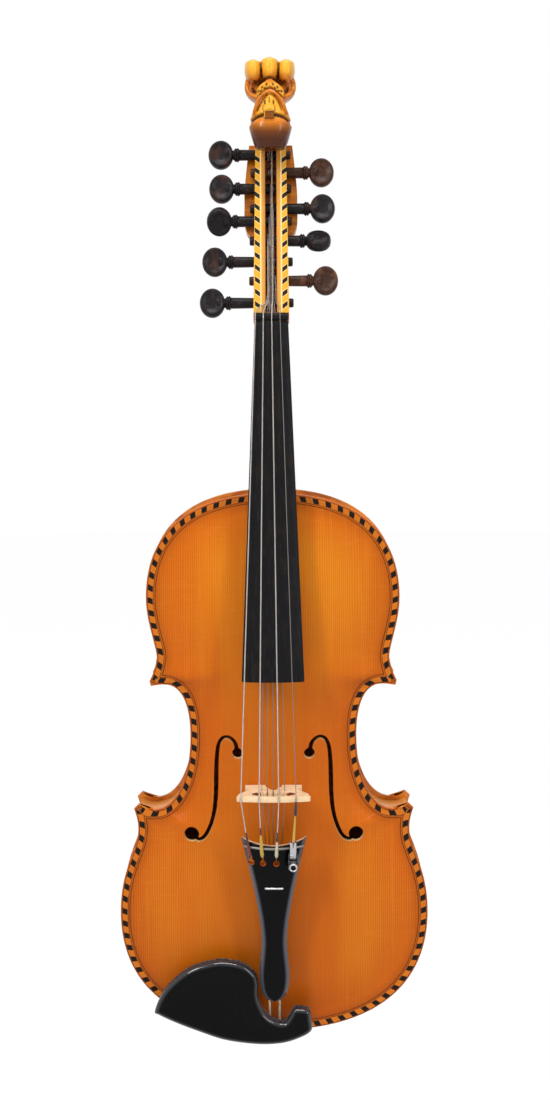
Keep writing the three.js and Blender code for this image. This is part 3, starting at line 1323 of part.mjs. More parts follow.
function headLoft(table, half, sides, reachAt) {
  return loft(table.map(([z, width, ...reach]) => Array.from({ length: sides }, (_, i) => {
    const angle = (i / sides) * 2 * Math.PI;
    return new THREE.Vector3(width * half * Math.cos(angle), jawReach * reachAt(reach, Math.sin(angle)),
      z * headHeight);
  })));
}

function headSolid() {
  const crown = crownWidth / 2;
  const jaw = jawWidth / 2;
  const h = headHeight;
  const lobeShares = [[-0.65, 0.35, 0.77, 0.2], [0, 0.38, 0.775, 0.225], [0.65, 0.35, 0.77, 0.2]];
  const lobes = lobeShares.map(([x, width, z, tall]) => ellipsoid([x * crown, -jawReach * 0.26, z * h],
    [width * crown, jawReach * 0.56, tall * h], 12, 8));
  const neckShares = [[-0.04, 0.62, 0.1, 0.62], [0.28, 0.58, 0.04, 0.6], [0.47, 0.54, -0.04, 0.56],
    [0.58, 0.9, -0.12, 0.52], [0.76, 1, -0.16, 0.46], [0.9, 0.8, -0.18, 0.34]];
  const neck = headLoft(neckShares, collarWidth / 2, 14, ([y, reach], turn) => y + 0.35 + reach * turn);
  const faceShares = [[-0.115, 0.62, 0.72], [-0.07, 0.8, 0.88], [0.01, 0.95, 0.98], [0.1, 1, 1],
    [0.19, 0.99, 0.97], [0.29, 0.9, 0.96], [0.36, 0.77, 0.95], [0.44, 0.64, 0.92], [0.54, 0.42, 0.84],
    [0.62, 0.2, 0.72]];
  const face = headLoft(faceShares, jaw, 14, ([reach], turn) => (reach * (turn - 1)) / 2);
  const nose = ellipsoid([0, -jawReach * 0.9, h * 0.33], [jaw * 0.28, jawReach * 0.13, h * 0.07], 8, 6);
  const mouth = ellipsoid([0, -jawReach, h * 0.225], [jaw * 0.9, jawReach * 0.3, mouthHeight / 2], 12, 4);
  const eyes = [-1, 1].map((side) => ellipsoid([side * jaw * 0.3, -jawReach * 0.94, h * 0.4],
    [jaw * 0.12, jawReach * 0.1, h * 0.03], 6, 4));
  return cut(join(neck, face, nose, ...lobes), mouth, ...eyes);
}

const toHeadFrame = new THREE.Matrix4().makeTranslation(headSeat.clone().negate()).multiply(pegboxMatrix);
const inHeadFrame = (geometry) => toSolid(geometry.applyMatrix4(toHeadFrame));
const pegboxEnd = inHeadFrame(new THREE.BoxGeometry(4 * crownWidth, 4 * crownWidth, 2 * headHeight)
  .translate(0, 2 * crownWidth - gap, pegboxLength + gap - headHeight));
addPiece(headFrame, 'carved_head', cut(headSolid(), pegboxEnd), headMaple);

// The origin is where a hanger takes the fiddle, under the shoulders behind the pegbox
const hangerPlace = pegboxPlace(0, pegboxDepth, pegboxLength * 0.43);
fiddle.position.copy(hangerPlace).negate();

const model = new THREE.Group();
model.add(fiddle);

export default model;
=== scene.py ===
# A hardanger fiddle standing upright: arched body, carved head, nine pegs, four strings over five.
import bmesh
import bpy
import math
import numpy as np
from mathutils import Matrix, Vector


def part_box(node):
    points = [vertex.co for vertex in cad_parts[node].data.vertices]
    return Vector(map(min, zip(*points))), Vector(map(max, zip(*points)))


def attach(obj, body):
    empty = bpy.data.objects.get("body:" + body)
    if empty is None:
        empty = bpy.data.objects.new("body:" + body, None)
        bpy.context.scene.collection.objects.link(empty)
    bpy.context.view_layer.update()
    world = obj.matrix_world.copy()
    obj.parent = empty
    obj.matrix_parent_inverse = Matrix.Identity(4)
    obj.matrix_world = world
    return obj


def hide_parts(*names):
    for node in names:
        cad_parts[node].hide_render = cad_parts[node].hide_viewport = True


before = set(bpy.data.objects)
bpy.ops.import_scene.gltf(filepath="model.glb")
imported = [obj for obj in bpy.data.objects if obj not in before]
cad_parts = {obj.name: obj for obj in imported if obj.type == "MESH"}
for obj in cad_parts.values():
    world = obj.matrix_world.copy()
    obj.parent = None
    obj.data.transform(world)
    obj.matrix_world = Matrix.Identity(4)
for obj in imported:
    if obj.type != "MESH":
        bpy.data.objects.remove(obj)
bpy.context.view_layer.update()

# Sizes in millimetres, from the bottom of the body, as the solids have them
GAP = 0.3
BODY_LENGTH = 352.0
RIB_HALF = 15.0
PLATE_EDGE = 4.0
PLATE_THICKNESS = 3.0
EDGE_OVERHANG = 2.8
RIB_THICKNESS = 1.3
CHANNEL_WIDTH = 6.0
LAND_WIDTH = 8.0
TOP_ARCH = 16.0
BACK_ARCH = 15.0
BACK_FLAT = 1.8
NUT_BOTTOM = 460.6
NUT_TOP = 465.0
NECK_LENGTH = 108.6
NECK_FRONT = 19.0
NECK_RISE = 6.0
PEGBOX_LENGTH = 116.0
PEGBOX_DEPTH = 22.0
PEG_DEPTH = 10.0
CHANNEL_HALF = 3.6
BRIDGE_HEIGHT = 164.5
BRIDGE_WIDTH = 45.0
BRIDGE_RISE = 30.5
BRIDGE_DROP = 2.6
FOOT_SPAN = 42.0
TAIL_LENGTH = 109.0
TAIL_WIDTH = 41.2
TAIL_THICKNESS = 9.0
TAIL_CURVE = 34.0
FRET_ALONG = 104.1
HOLE_ALONG = 94.3
STAPLE_ALONG = 77.9
TUNER_X = 12.1
BOARD_LENGTH = 224.6
BOARD_FOOT = NUT_BOTTOM - BOARD_LENGTH
BOARD_WIDE = 39.3
BOARD_NARROW = 21.0
NUT_FACE = -25.1

PEGBOX = Matrix.Translation((0, -21.5, NUT_TOP)) @ Matrix.Rotation(math.radians(-17), 4, "X")
TAIL = Matrix.Translation((0, -40, 27)) @ Matrix.Rotation(math.radians(6.2), 4, "X")
HANGER = PEGBOX @ Vector((0, PEGBOX_DEPTH, PEGBOX_LENGTH * 0.43))
FIDDLE = Matrix.Scale(0.001, 4) @ Matrix.Translation(-HANGER)
HEAD = Matrix.Translation(PEGBOX @ Vector((0, 0, PEGBOX_LENGTH - 3)))


def paint(red, green, blue):
    """A colour from its screen levels."""
    levels = [level / 255 for level in (red, green, blue)]
    return tuple(v / 12.92 if v <= 0.04045 else ((v + 0.055) / 1.055) ** 2.4 for v in levels) + (1.0,)


class Value:
    """A number, colour or direction on its way through a material."""

    def __init__(self, look, socket):
        self.look = look
        self.socket = socket

    def reckon(self, operation, *given):
        return self.look.node("ShaderNodeMath", {"operation": operation}, dict(enumerate(given)))

    def __add__(self, other):
        return self.reckon("ADD", self, other)

    def __sub__(self, other):
        return self.reckon("SUBTRACT", self, other)

    def __rsub__(self, other):
        return self.reckon("SUBTRACT", other, self)

    def __mul__(self, other):
        return self.reckon("MULTIPLY", self, other)

    def __truediv__(self, other):
        return self.reckon("DIVIDE", self, other)

    def __abs__(self):
        return self.reckon("ABSOLUTE", self)

    __radd__ = __add__
    __rmul__ = __mul__

    def larger(self, other):
        return self.reckon("MAXIMUM", self, other)

    def wave(self):
        return self.reckon("SINE", self)

    def part(self):
        return self.reckon("FRACT", self)

    def ramp(self, low, high):
        """A smooth rise from 0 at low to 1 at high."""
        return self.look.node("ShaderNodeMapRange", {"interpolation_type": "SMOOTHSTEP"},
                              {"Value": self, "From Min": low, "From Max": high})

    def band(self, low, high, soft=0.06):
        """1 between low and high, with soft ends."""
        return self.ramp(low - soft, low + soft) * (1 - self.ramp(high - soft, high + soft))


class Look:
    """One finish, or the studio's surround: textures are worked out in millimetres on the fiddle."""

    def __init__(self, name, store=bpy.data.materials, surface="Principled BSDF", **fixed):
        self.holder = store.new(name)
        self.holder.use_nodes = True
        self.tree = self.holder.node_tree
        self.surface = self.tree.nodes[surface]
        for key, value in fixed.items():
            self.surface.inputs[key.replace("_", " ")].default_value = value

    def node(self, kind, settings=None, given=None, result=0):
        node = self.tree.nodes.new(kind)
        for key, value in (settings or {}).items():
            setattr(node, key, value)
        for key, value in (given or {}).items():
            if isinstance(value, Value):
                self.tree.links.new(value.socket, node.inputs[key])
            else:
                node.inputs[key].default_value = value
        return Value(self, node.outputs[result])

    def place(self):
        """Where a point lies on the fiddle, in millimetres."""
        here = self.node("ShaderNodeTexCoord", result="Object")
        return self.node("ShaderNodeVectorMath", {"operation": "MULTIPLY_ADD"},
                         {0: here, 1: (1000, 1000, 1000), 2: tuple(HANGER)})

    def split(self, vector):
        whole = self.node("ShaderNodeSeparateXYZ", given={0: vector})
        outputs = whole.socket.node.outputs
        return [Value(self, outputs[axis]) for axis in range(3)]

    def sheet(self, name):
        """The two numbers that a piece carries in the sheet of this name."""
        return self.split(self.node("ShaderNodeUVMap", {"uv_map": name}))

    def noise(self, at, size, detail=2.0, rough=0.5):
        """Cloudy noise whose patches measure size along x, y and z."""
        scaled = self.node("ShaderNodeVectorMath", {"operation": "DIVIDE"}, {0: at, 1: size})
        return self.node("ShaderNodeTexNoise", None,
                         {"Vector": scaled, "Scale": 1.0, "Detail": detail, "Roughness": rough})

    def mix(self, first, second, share, way="MIX"):
        return self.node("ShaderNodeMix", {"data_type": "RGBA", "blend_type": way},
                         {0: share, 6: first, 7: second}, 2)

    def bump(self, height, depth, under=None):
        given = {"Height": height, "Strength": 1.0, "Distance": depth * 0.001}
        if under is not None:
            given["Normal"] = under
        return self.node("ShaderNodeBump", None, given)

    def finish(self, **inputs):
        for key, value in inputs.items():
            self.tree.links.new(value.socket, self.surface.inputs[key.replace("_", " ")])
        return self.holder


# Wood finishes
TILE_PITCH, TILE_RAKE = 8.4, 0.45
PEGBOX_TILE_PITCH, PEGBOX_TILE_RAKE = 8.0, 0.75
REED_PITCH, FLAME_PITCH = 1.42, 6.8


def varnished_spruce():
    look = Look("varnished_spruce", Specular_IOR_Level=0.1, Coat_Weight=0.05, Coat_Roughness=0.12)
    at = look.place()
    x, _, z = look.split(at)
    run, inside, _ = look.sheet("inlay")
    sway = look.noise(at, (26, 60, 210), 1.0)
    reed = (x + sway * 7 + look.noise(at, (9, 60, 60), 2.0) * 1.4) * (2 * math.pi / REED_PITCH)
    grain = reed.wave() * 0.5 + 0.5
    side = abs(x).ramp(8, 92)
    lines = grain * (0.2 + side * 0.5 + look.noise(at, (16, 80, 50), 2.0).ramp(0.35, 0.75) * 0.3)
    streaks = look.noise(at, (2.6, 60, 70), 3.0, 0.6)
    silk = look.noise(at, (11, 60, 1.1), 1.0, 0.5)
    wide = look.noise(at, (24, 60, 260), 2.0)
    colour = look.mix(paint(222, 131, 24), paint(200, 98, 14), 1 - inside.ramp(0, 42))
    colour = look.mix(colour, paint(210, 100, 14), wide.ramp(0.42, 0.7) * 0.55)
    colour = look.mix(colour, paint(160, 68, 8), lines * 0.62)
    colour = look.mix(colour, paint(236, 148, 36), streaks.ramp(0.5, 0.85) * 0.25)
    colour = look.mix(colour, paint(240, 158, 60), silk.ramp(0.5, 0.85) * 0.1)
    colour = look.mix(colour, paint(182, 78, 8), (1 - z.ramp(190, 330)) * (1 - abs(x).ramp(24, 78)) * 0.6)
    colour = look.mix(colour, paint(170, 76, 8), (1 - z.ramp(30, 120)) * side * 0.2)
    colour = look.mix(colour, paint(120, 50, 8), (1 - inside.ramp(4.5, 12)) * 0.3)
    tiles = ((run + inside * TILE_RAKE) / TILE_PITCH).part().band(0.27, 0.73, 0.02)
    tiles = tiles * inside.band(1.15, 4.35)
    purfling = inside.band(4.55, 4.85, 0.05) + inside.band(5.7, 6.15, 0.05) + inside.band(0.85, 1.1, 0.05)
    colour = look.mix(colour, paint(208, 116, 30), inside.band(1.15, 4.5) * 0.8)
    colour = look.mix(colour, paint(22, 16, 12), tiles)
    colour = look.mix(colour, paint(38, 22, 10), purfling * 0.9)
    rough = 0.3 + look.noise(at, (14, 14, 14), 3.0) * 0.16
    relief = look.bump(grain, 0.035, look.bump(look.noise(at, (3, 3, 9), 3.0), 0.05))
    return look.finish(Base_Color=colour, Roughness=rough, Normal=relief)


def varnished_maple(name, light, dark, flame, lie=(14, 60, 3.2), rough=0.3, groove=None):
    """Maple under varnish, with flames that lie across the grain; given a groove colour, it also takes the
    carving's painted shade in the grooves and painted light and shade on tops and undersides.
    """
    look = Look(name, Specular_IOR_Level=0.2, Coat_Weight=0.12, Coat_Roughness=0.1)
    at = look.place()
    x, _, z = look.split(at)
    drift = look.noise(at, (16, 40, 22), 2.0) * 15 + look.noise(at, lie, 2.0, 0.5) * 4
    band = ((z + drift + abs(x) * 0.2) * (2 * math.pi / FLAME_PITCH)).wave() * 0.5 + 0.5
    curl = band * look.noise(at, (26, 60, 34), 2.0).ramp(0.22, 0.72)
    fibre = look.noise(at, (1.1, 1.1, 22), 3.0, 0.6)
    clouds = look.noise(at, (30, 30, 40), 2.0)
    colour = look.mix(light, dark, curl.ramp(0.1, 0.9) * flame)
    colour = look.mix(colour, dark, fibre.ramp(0.5, 0.85) * 0.35)
    colour = look.mix(colour, light, clouds.ramp(0.5, 0.8) * 0.3)
    if groove is not None:
        # Painted light and shade from the carving sheet: undersides darkened to brown, lit tops brightened
        # to gold, grooves painted in the groove colour as shade.
        depth, light_and_shade, _ = look.sheet("carving_light_and_shade")
        colour = look.mix(paint(72, 28, 4), colour, light_and_shade.ramp(-0.05, 0.55))
        colour = look.mix(colour, paint(244, 180, 52), light_and_shade.ramp(0.5, 1) * 0.85)
        colour = look.mix(colour, groove, depth)
    relief = look.bump(fibre, 0.03)
    return look.finish(Base_Color=colour, Normal=relief, Roughness=rough + fibre * 0.14)


def pegbox_maple():
    look = Look("pegbox_maple", Specular_IOR_Level=0.2, Coat_Weight=0.08, Coat_Roughness=0.14)
    at = look.place()
    run, inside, _ = look.sheet("inlay")
    depth_in = inside.band(-31, -29, 0.5)
    curl = look.noise(at, (20, 60, 4), 3.0)
    fibre = look.noise(at, (1.0, 1.2, 24), 3.0, 0.6)
    colour = look.mix(paint(206, 122, 30), paint(150, 74, 12), curl.ramp(0.42, 0.7) * 0.7)
    colour = look.mix(colour, paint(120, 58, 8), fibre.ramp(0.5, 0.85) * 0.4)
    face = inside.ramp(-1, -0.5)
    colour = look.mix(colour, paint(228, 168, 52), face * 0.92)
    colour = look.mix(colour, paint(250, 222, 160), inside.band(0.1, 0.9, 0.15) * 0.8)
    tile = ((run - inside * PEGBOX_TILE_RAKE) / PEGBOX_TILE_PITCH).part()
    tiles = tile.band(0.22, 0.6, 0.015) * inside.band(1.1, 4.3)
    edging = tile.band(0.17, 0.65, 0.015) * inside.band(1.0, 4.4)
    colour = look.mix(colour, paint(252, 226, 160), edging * 0.7)
    colour = look.mix(colour, paint(24, 17, 14), tiles)
    colour = look.mix(colour, paint(226, 160, 76), (1 - face) * depth_in)
    relief = look.bump(fibre, 0.03)
    return look.finish(Base_Color=colour, Normal=relief, Roughness=0.26 + fibre * 0.14)


def raw_wood(name, light, dark, lie=(1.2, 1.2, 30)):
    look = Look(name, Specular_IOR_Level=0.3)
    at = look.place()
    fibre = look.noise(at, lie, 4.0, 0.6)
    clouds = look.noise(at, (12, 12, 20), 3.0)
    flecks = look.noise(at, (0.8, 3, 0.5), 1.0).ramp(0.66, 0.74)
    colour = look.mix(light, dark, fibre.ramp(0.4, 0.75) * 0.6)
    colour = look.mix(colour, dark, clouds.ramp(0.5, 0.8) * 0.35)
    colour = look.mix(colour, dark, flecks * 0.5)
    return look.finish(Base_Color=colour, Normal=look.bump(fibre, 0.06), Roughness=0.5 + fibre * 0.3)


def black_wood(name, shade, streak, gloss, wear=None, lie=(1.3, 1.3, 46), worn=0.5, shine=0.11,
               rim=0.0):
    """Dark polished wood with fine streaks along its length and rubbed places; given a rim share, its rims
    get a coat and a painted bluish-grey highlight.
    """
    look = Look(name, Specular_IOR_Level=shine, Coat_Roughness=0.08)
    at = look.place()
    fibre = look.noise(at, lie, 4.0, 0.65)
    clouds = look.noise(at, (9, 9, 14), 3.0, 0.6)
    colour = look.mix(shade, streak, fibre.ramp(0.48, 0.78))
    if wear is not None:
        colour = look.mix(colour, wear, clouds.ramp(0.5, 0.72) * worn)
    pores = look.noise(at, (0.35, 0.35, 5), 2.0)
    relief = look.bump(pores, 0.02, look.bump(clouds, 0.12))
    rough = gloss + fibre * 0.12 + clouds.ramp(0.4, 0.8) * 0.1
    if not rim:
        return look.finish(Base_Color=colour, Normal=relief, Roughness=rough)
    edge, _, _ = look.sheet("rim")
    near = 1 - edge.ramp(1.0, 3.4)
    # Painted highlight: near the rim the colour is lightened towards bluish grey by the rim share.
    colour = look.mix(colour, paint(92, 92, 106), near * rim)
    return look.finish(Base_Color=colour, Normal=relief, Roughness=rough, Coat_Weight=near)


# Metal, gut, silk, cork and bone
def metal(name, shade, dull, wound=0.0):
    look = Look(name, Metallic=1.0)
    at = look.place()
    dust = look.noise(at, (2.5, 2.5, 2.5), 4.0, 0.6)
    scratches = look.noise(at, (0.25, 4, 0.25), 2.0)
    colour = look.mix(shade, paint(120, 118, 116), dust.ramp(0.5, 0.8) * 0.35)
    relief = look.bump(scratches, 0.02)
    if wound:
        _, _, z = look.split(at)
        relief = look.bump((z * (2 * math.pi / wound)).wave(), 0.08, relief)
    return look.finish(Base_Color=colour, Normal=relief, Roughness=dull + dust * 0.2)


def silk_thread(name, shade):
    look = Look(name, Sheen_Weight=0.3)
    at = look.place()
    _, _, z = look.split(at)
    turns = (z * (2 * math.pi / 0.5) + look.noise(at, (1, 1, 1)) * 2).wave() * 0.5 + 0.5
    fade = look.noise(at, (1.5, 1.5, 4), 2.0)
    # Painted shade: darker between the turns of the thread.
    colour = look.mix(shade, paint(30, 18, 14), (1 - turns) * 0.45)
    colour = look.mix(colour, paint(240, 226, 200), fade.ramp(0.55, 0.85) * 0.25)
    return look.finish(Base_Color=colour, Normal=look.bump(turns, 0.08), Roughness=0.62 + fade * 0.2)


def gut_cord():
    look = Look("gut_cord", Subsurface_Weight=0.1)
    at = look.place()
    x, _, z = look.split(at)
    twist = ((x + z) * (2 * math.pi / 1.6)).wave() * 0.5 + 0.5
    stain = look.noise(at, (2, 2, 5), 3.0)
    colour = look.mix(paint(226, 214, 188), paint(170, 140, 96), stain.ramp(0.45, 0.75) * 0.7)
    # Painted shade: darker in the grooves of the twist.
    colour = look.mix(colour, paint(150, 122, 84), (1 - twist) * 0.3)
    return look.finish(Base_Color=colour, Normal=look.bump(twist, 0.06), Roughness=0.34 + stain * 0.2)


def bark_cork():
    look = Look("bark_cork", Specular_IOR_Level=0.2)
    at = look.place()
    grit = look.noise(at, (0.9, 0.9, 0.9), 4.0, 0.7)
    holes = look.noise(at, (1.6, 0.7, 1.1), 2.0).ramp(0.6, 0.68)
    colour = look.mix(paint(206, 164, 112), paint(150, 104, 60), grit.ramp(0.4, 0.7))
    colour = look.mix(colour, paint(84, 52, 28), holes * 0.8)
    return look.finish(Base_Color=colour, Normal=look.bump(grit, 0.15), Roughness=0.82 + grit * 0.12)


def old_bone():
    look = Look("old_bone", Subsurface_Weight=0.1)
    at = look.place()
    pores = look.noise(at, (0.5, 0.5, 3), 3.0)
    colour = look.mix(paint(236, 226, 200), paint(196, 174, 130), pores.ramp(0.45, 0.75) * 0.7)
    return look.finish(Base_Color=colour, Normal=look.bump(pores, 0.04), Roughness=0.36 + pores * 0.2)


SPRUCE = varnished_spruce()
BACK_MAPLE = varnished_maple("back_maple", paint(206, 120, 34), paint(140, 66, 12), 0.8, (24, 60, 4.5))
# The ribs are paler than the back, partly as their own tone and partly as a painted highlight on their
# curved sides.
RIB_MAPLE = varnished_maple("rib_maple", paint(216, 140, 62), paint(164, 92, 34), 0.6, (5, 60, 5))
PEGBOX_MAPLE = pegbox_maple()
NECK_MAPLE = varnished_maple("neck_maple", paint(208, 138, 66), paint(160, 92, 34), 0.5, (10, 10, 5))
# The last colour is the painted shade in the head's carved grooves.
HEAD_MAPLE = varnished_maple("head_maple", paint(208, 120, 24), paint(158, 78, 10), 0.5, (6, 8, 5), 0.22,
                             paint(62, 26, 6))
RAW_SPRUCE = raw_wood("raw_spruce", paint(206, 172, 122), paint(166, 124, 74))
CUT_SPRUCE = raw_wood("cut_spruce", paint(232, 196, 140), paint(196, 146, 84))
# Warm brown painted on the tailpiece's hole walls, standing in for the lit top seen through the holes.
TAIL_HOLE_LIGHT = raw_wood("tail_hole_light", paint(196, 100, 34), paint(120, 56, 20))
# Pale finish for the tailpiece's top end: wear together with a painted highlight on that edge.
WORN_LIT_EDGE = raw_wood("worn_lit_edge", paint(236, 196, 160), paint(190, 140, 104), (4, 1, 1))
# Painted shade for the walls at the ends of the bridge's window.
WINDOW_SHADE = raw_wood("window_shade", paint(150, 74, 44), paint(104, 44, 24))
BRIDGE_WOOD = raw_wood("bridge_wood", paint(238, 208, 168), paint(206, 164, 116), (6, 3, 0.9))
BOARD_EBONY = black_wood("board_ebony", paint(17, 16, 18), paint(34, 33, 35), 0.4, paint(44, 34, 28),
                         worn=0.35)
POLISHED_EBONY = black_wood("polished_ebony", paint(7, 6, 8), paint(14, 13, 14), 0.1, shine=0.14)
# The rim shares below paint a bluish-grey highlight along the rims of the chin rest and the tailpiece.
CHIN_EBONY = black_wood("chin_ebony", paint(5, 5, 7), paint(11, 10, 12), 0.08, shine=0.09, rim=0.12)
TAIL_EBONY = black_wood("tail_ebony", paint(5, 5, 7), paint(11, 10, 12), 0.1, shine=0.09, rim=0.5)
PEG_EBONY = black_wood("peg_ebony", paint(30, 27, 29), paint(52, 44, 42), 0.22, paint(84, 54, 40),
                       (3, 3, 3), 0.55)
BROWN_PEG = black_wood("brown_peg", paint(58, 38, 30), paint(92, 60, 44), 0.24, paint(120, 78, 56),
                       (3, 3, 3), 0.6)
STEEL = metal("string_steel", paint(128, 124, 120), 0.3)
WOUND_STEEL = metal("wound_steel", paint(200, 192, 184), 0.3, 0.32)
DARK_STEEL = metal("dark_steel", paint(74, 73, 74), 0.3)
FITTING_STEEL = metal("fitting_steel", paint(188, 188, 190), 0.2)
GUT = gut_cord()
CORK = bark_cork()
BONE = old_bone()
RED_SILK = silk_thread("red_silk", paint(132, 26, 30))
YELLOW_SILK = silk_thread("yellow_silk", paint(222, 182, 60))
CREAM_SILK = silk_thread("cream_silk", paint(232, 218, 184))
DARK_SILK = silk_thread("dark_silk", paint(38, 30, 30))
MAROON_SILK = silk_thread("maroon_silk", paint(74, 20, 22))


# Curves
def curve(steps, *ends):
    """A smooth run from the first of three or four points to the last."""
    run = []
    for share in np.linspace(0, 1, steps + 1):
        level = np.array(ends, float)
        while len(level) > 1:
            level = level[:-1] * (1 - share) + level[1:] * share
        run.append(level[0])
    return np.array(run)


def chain(*runs):
    return np.vstack([runs[0]] + [run[1:] for run in runs[1:]])


def through(points, steps, closed=False):
    """A smooth run through every point."""
    points = np.array(points, float)
    count = len(points)
    pick = (lambda i: points[i % count]) if closed else (lambda i: points[min(max(i, 0), count - 1)])
    run = []
    for i in range(count if closed else count - 1):
        a, b, c, d = (pick(i + k) for k in (-1, 0, 1, 2))
        for t in np.arange(steps) / steps:
            run.append(0.5 * (2 * b + (c - a) * t + (2 * a - 5 * b + 4 * c - d) * t ** 2
                              + (3 * b - a - 3 * c + d) * t ** 3))
    if not closed:
        run.append(points[-1])
    return np.array(run)


def lengths_along(run):
    return np.concatenate(([0], np.cumsum(np.hypot(*np.diff(run, axis=0).T))))


def resample(run, count):
    along = lengths_along(run)
    even = np.linspace(0, along[-1], count)
    return np.column_stack([np.interp(even, along, run[:, axis]) for axis in (0, 1)])


# The outline of the body, right half, in three stretches between the corners
def body_outline(fine):
    def up(share):
        return BODY_LENGTH * share

    lower_bout, lower_hollow, lower_corner = 99.5, 87.4, 90.0
    waist, upper_corner, upper_hollow, upper_bout = 53.2, 79.0, 74.2, 80.7
    reach, tip = 13.0, 3.0
    lower_hook, upper_hook = lower_corner - reach, upper_corner - reach
    lower = chain(
        curve(7 * fine, (0, 0), (lower_bout * 0.583, 0), (lower_bout, up(0.069)), (lower_bout, up(0.2244))),
        curve(4 * fine, (lower_bout, up(0.2244)), (lower_bout, up(0.3125)), (lower_hollow, up(0.341)),
              (lower_hollow, up(0.385))),
        curve(2 * fine, (lower_hollow, up(0.385)), (lower_hollow, up(0.4006)), (lower_corner, up(0.4213))),
    )
    centre = chain(
        curve(2 * fine, (lower_corner - tip, up(0.4213) + tip), (lower_corner - reach / 2, up(0.4213)),
              (lower_hook + reach / 4, up(0.4199)), (lower_hook, up(0.4199))),
        curve(6 * fine, (lower_hook, up(0.4199)), (lower_hook - reach, up(0.4199)), (waist, up(0.4716)),
              (waist, up(0.5597))),
        curve(5 * fine, (waist, up(0.5597)), (waist, up(0.608)), (waist + reach / 3, up(0.6506)),
              (upper_hook + tip, up(0.6523))),
        curve(2 * fine, (upper_hook + tip, up(0.6523)), (upper_corner - reach / 2, up(0.6531)),
              (upper_corner - reach / 4, up(0.6514)), (upper_corner - tip / 4, up(0.6585) - tip)),
    )
    upper = chain(
        curve(2 * fine, (upper_corner, up(0.6585)), (upper_hollow * 1.016, up(0.6776)),
              (upper_hollow, up(0.7017))),
        curve(3 * fine, (upper_hollow, up(0.7017)), (upper_hollow, up(0.7216)), (upper_bout, up(0.767)),
              (upper_bout, up(0.8097))),
        curve(7 * fine, (upper_bout, up(0.8097)), (upper_bout, up(0.924)), (upper_bout * 0.692, up(1)),
              (0, up(1))),
    )
    return [lower, centre, upper]


STRETCHES = body_outline(6)


def inset(run, distance):
    along = np.gradient(run, axis=0)
    along /= np.hypot(*along.T)[:, None]
    return run + distance * np.column_stack((-along[:, 1], along[:, 0]))


def cross(a, b):
    return a[0] * b[1] - a[1] * b[0]


def meet(first, second):
    """Two runs trimmed to the point where they cross near a corner."""
    for i in range(len(first) - 2, -1, -1):
        way = first[i + 1] - first[i]
        for j in range(len(second) - 1):
            other = second[j + 1] - second[j]
            scale = cross(way, other)
            if abs(scale) > 1e-9:
                s = cross(second[j] - first[i], other) / scale
                t = cross(second[j] - first[i], way) / scale
                if 0 <= s <= 1 and 0 <= t <= 1:
                    at = first[i] + way * s
                    return np.vstack((first[:i + 1], at)), np.vstack((at, second[j + 1:]))
    return first, second


def inset_stretches(distance):
    lower, centre, upper = (inset(run, distance) for run in STRETCHES)
    lower, centre = meet(lower, centre)
    centre, upper = meet(centre, upper)
    return [lower, centre, upper]


# Forms: points in millimetres and the faces between them
def full_turn(sides):
    return np.arange(sides) * 2 * math.pi / sides


def skin(loops, capped=True):
    loops = np.array(loops, float)
    count, around = loops.shape[:2]
    faces = [(k * around + i, k * around + (i + 1) % around, (k + 1) * around + (i + 1) % around,
              (k + 1) * around + i) for k in range(count - 1) for i in range(around)]
    if capped:
        faces += [tuple(range(around)), tuple(range((count - 1) * around, count * around))]
    return loops.reshape(-1, 3), faces


def turned(profile, sides, axis="x", oval=1.0):
    """A turned form from distances along the axis and radii."""
    angles = full_turn(sides)
    order = {"x": (0, 1, 2), "y": (1, 0, 2), "z": (2, 0, 1)}[axis]
    loops = []
    for along, radius in profile:
        loop = np.zeros((sides, 3))
        loop[:, order[0]] = along
        loop[:, order[1]] = radius * np.cos(angles) * oval
        loop[:, order[2]] = radius * np.sin(angles)
        loops.append(loop)
    return skin(loops, False)


def rod(points, radius, sides=12):
    """A round rod along points, with rounded ends; the radius may change along it."""
    points = np.array([tuple(p) for p in points], float)
    radii = np.broadcast_to(np.array(radius, float), (len(points),))
    ways = np.gradient(points, axis=0)
    ways /= np.linalg.norm(ways, axis=1)[:, None]
    side = np.cross(ways[0], (0.3, 0.9, 0.1))
    angles = full_turn(sides)
    loops = []
    for at, way, size in zip(points, ways, radii):
        side = side - way * side.dot(way)
        side /= np.linalg.norm(side)
        other = np.cross(way, side)
        loops.append(at + size * (np.outer(np.cos(angles), side) + np.outer(np.sin(angles), other)))
    first = [points[0] + (loops[0] - points[0]) * 0.5 - ways[0] * radii[0] * 0.3]
    last = [points[-1] + (loops[-1] - points[-1]) * 0.5 + ways[-1] * radii[-1] * 0.3]
    return skin(first + loops + last)


def ball(centre, radii, around=32, rows=20):
    loops = [[(centre[0] + radii[0] * math.sin(b) * math.cos(a),
               centre[1] + radii[1] * math.sin(b) * math.sin(a),
               centre[2] - radii[2] * math.cos(b)) for a in full_turn(around)]
             for b in np.linspace(0, math.pi, rows + 1)]
    return skin(loops, False)


def block(low, high):
    corners = [(x, y, z) for z in (low[2], high[2]) for x, y in
               ((low[0], low[1]), (high[0], low[1]), (high[0], high[1]), (low[0], high[1]))]
    return skin([corners[:4], corners[4:]])


def sawn(outline, front, back, plane="xz"):
    """A flat outline made solid between two depths."""
    outline = np.array(outline, float)
    loops = []
    for depth in (front, back):
        loop = np.zeros((len(outline), 3))
        first, second, third = {"xz": (0, 2, 1), "yz": (1, 2, 0), "xy": (0, 1, 2)}[plane]
        loop[:, first], loop[:, second], loop[:, third] = outline[:, 0], outline[:, 1], depth
        loops.append(loop)
    return skin(loops)


def show(name, data):
    """A new object in the scene."""
    holder = bpy.data.objects.new(name, data)
    bpy.context.collection.objects.link(holder)
    return holder


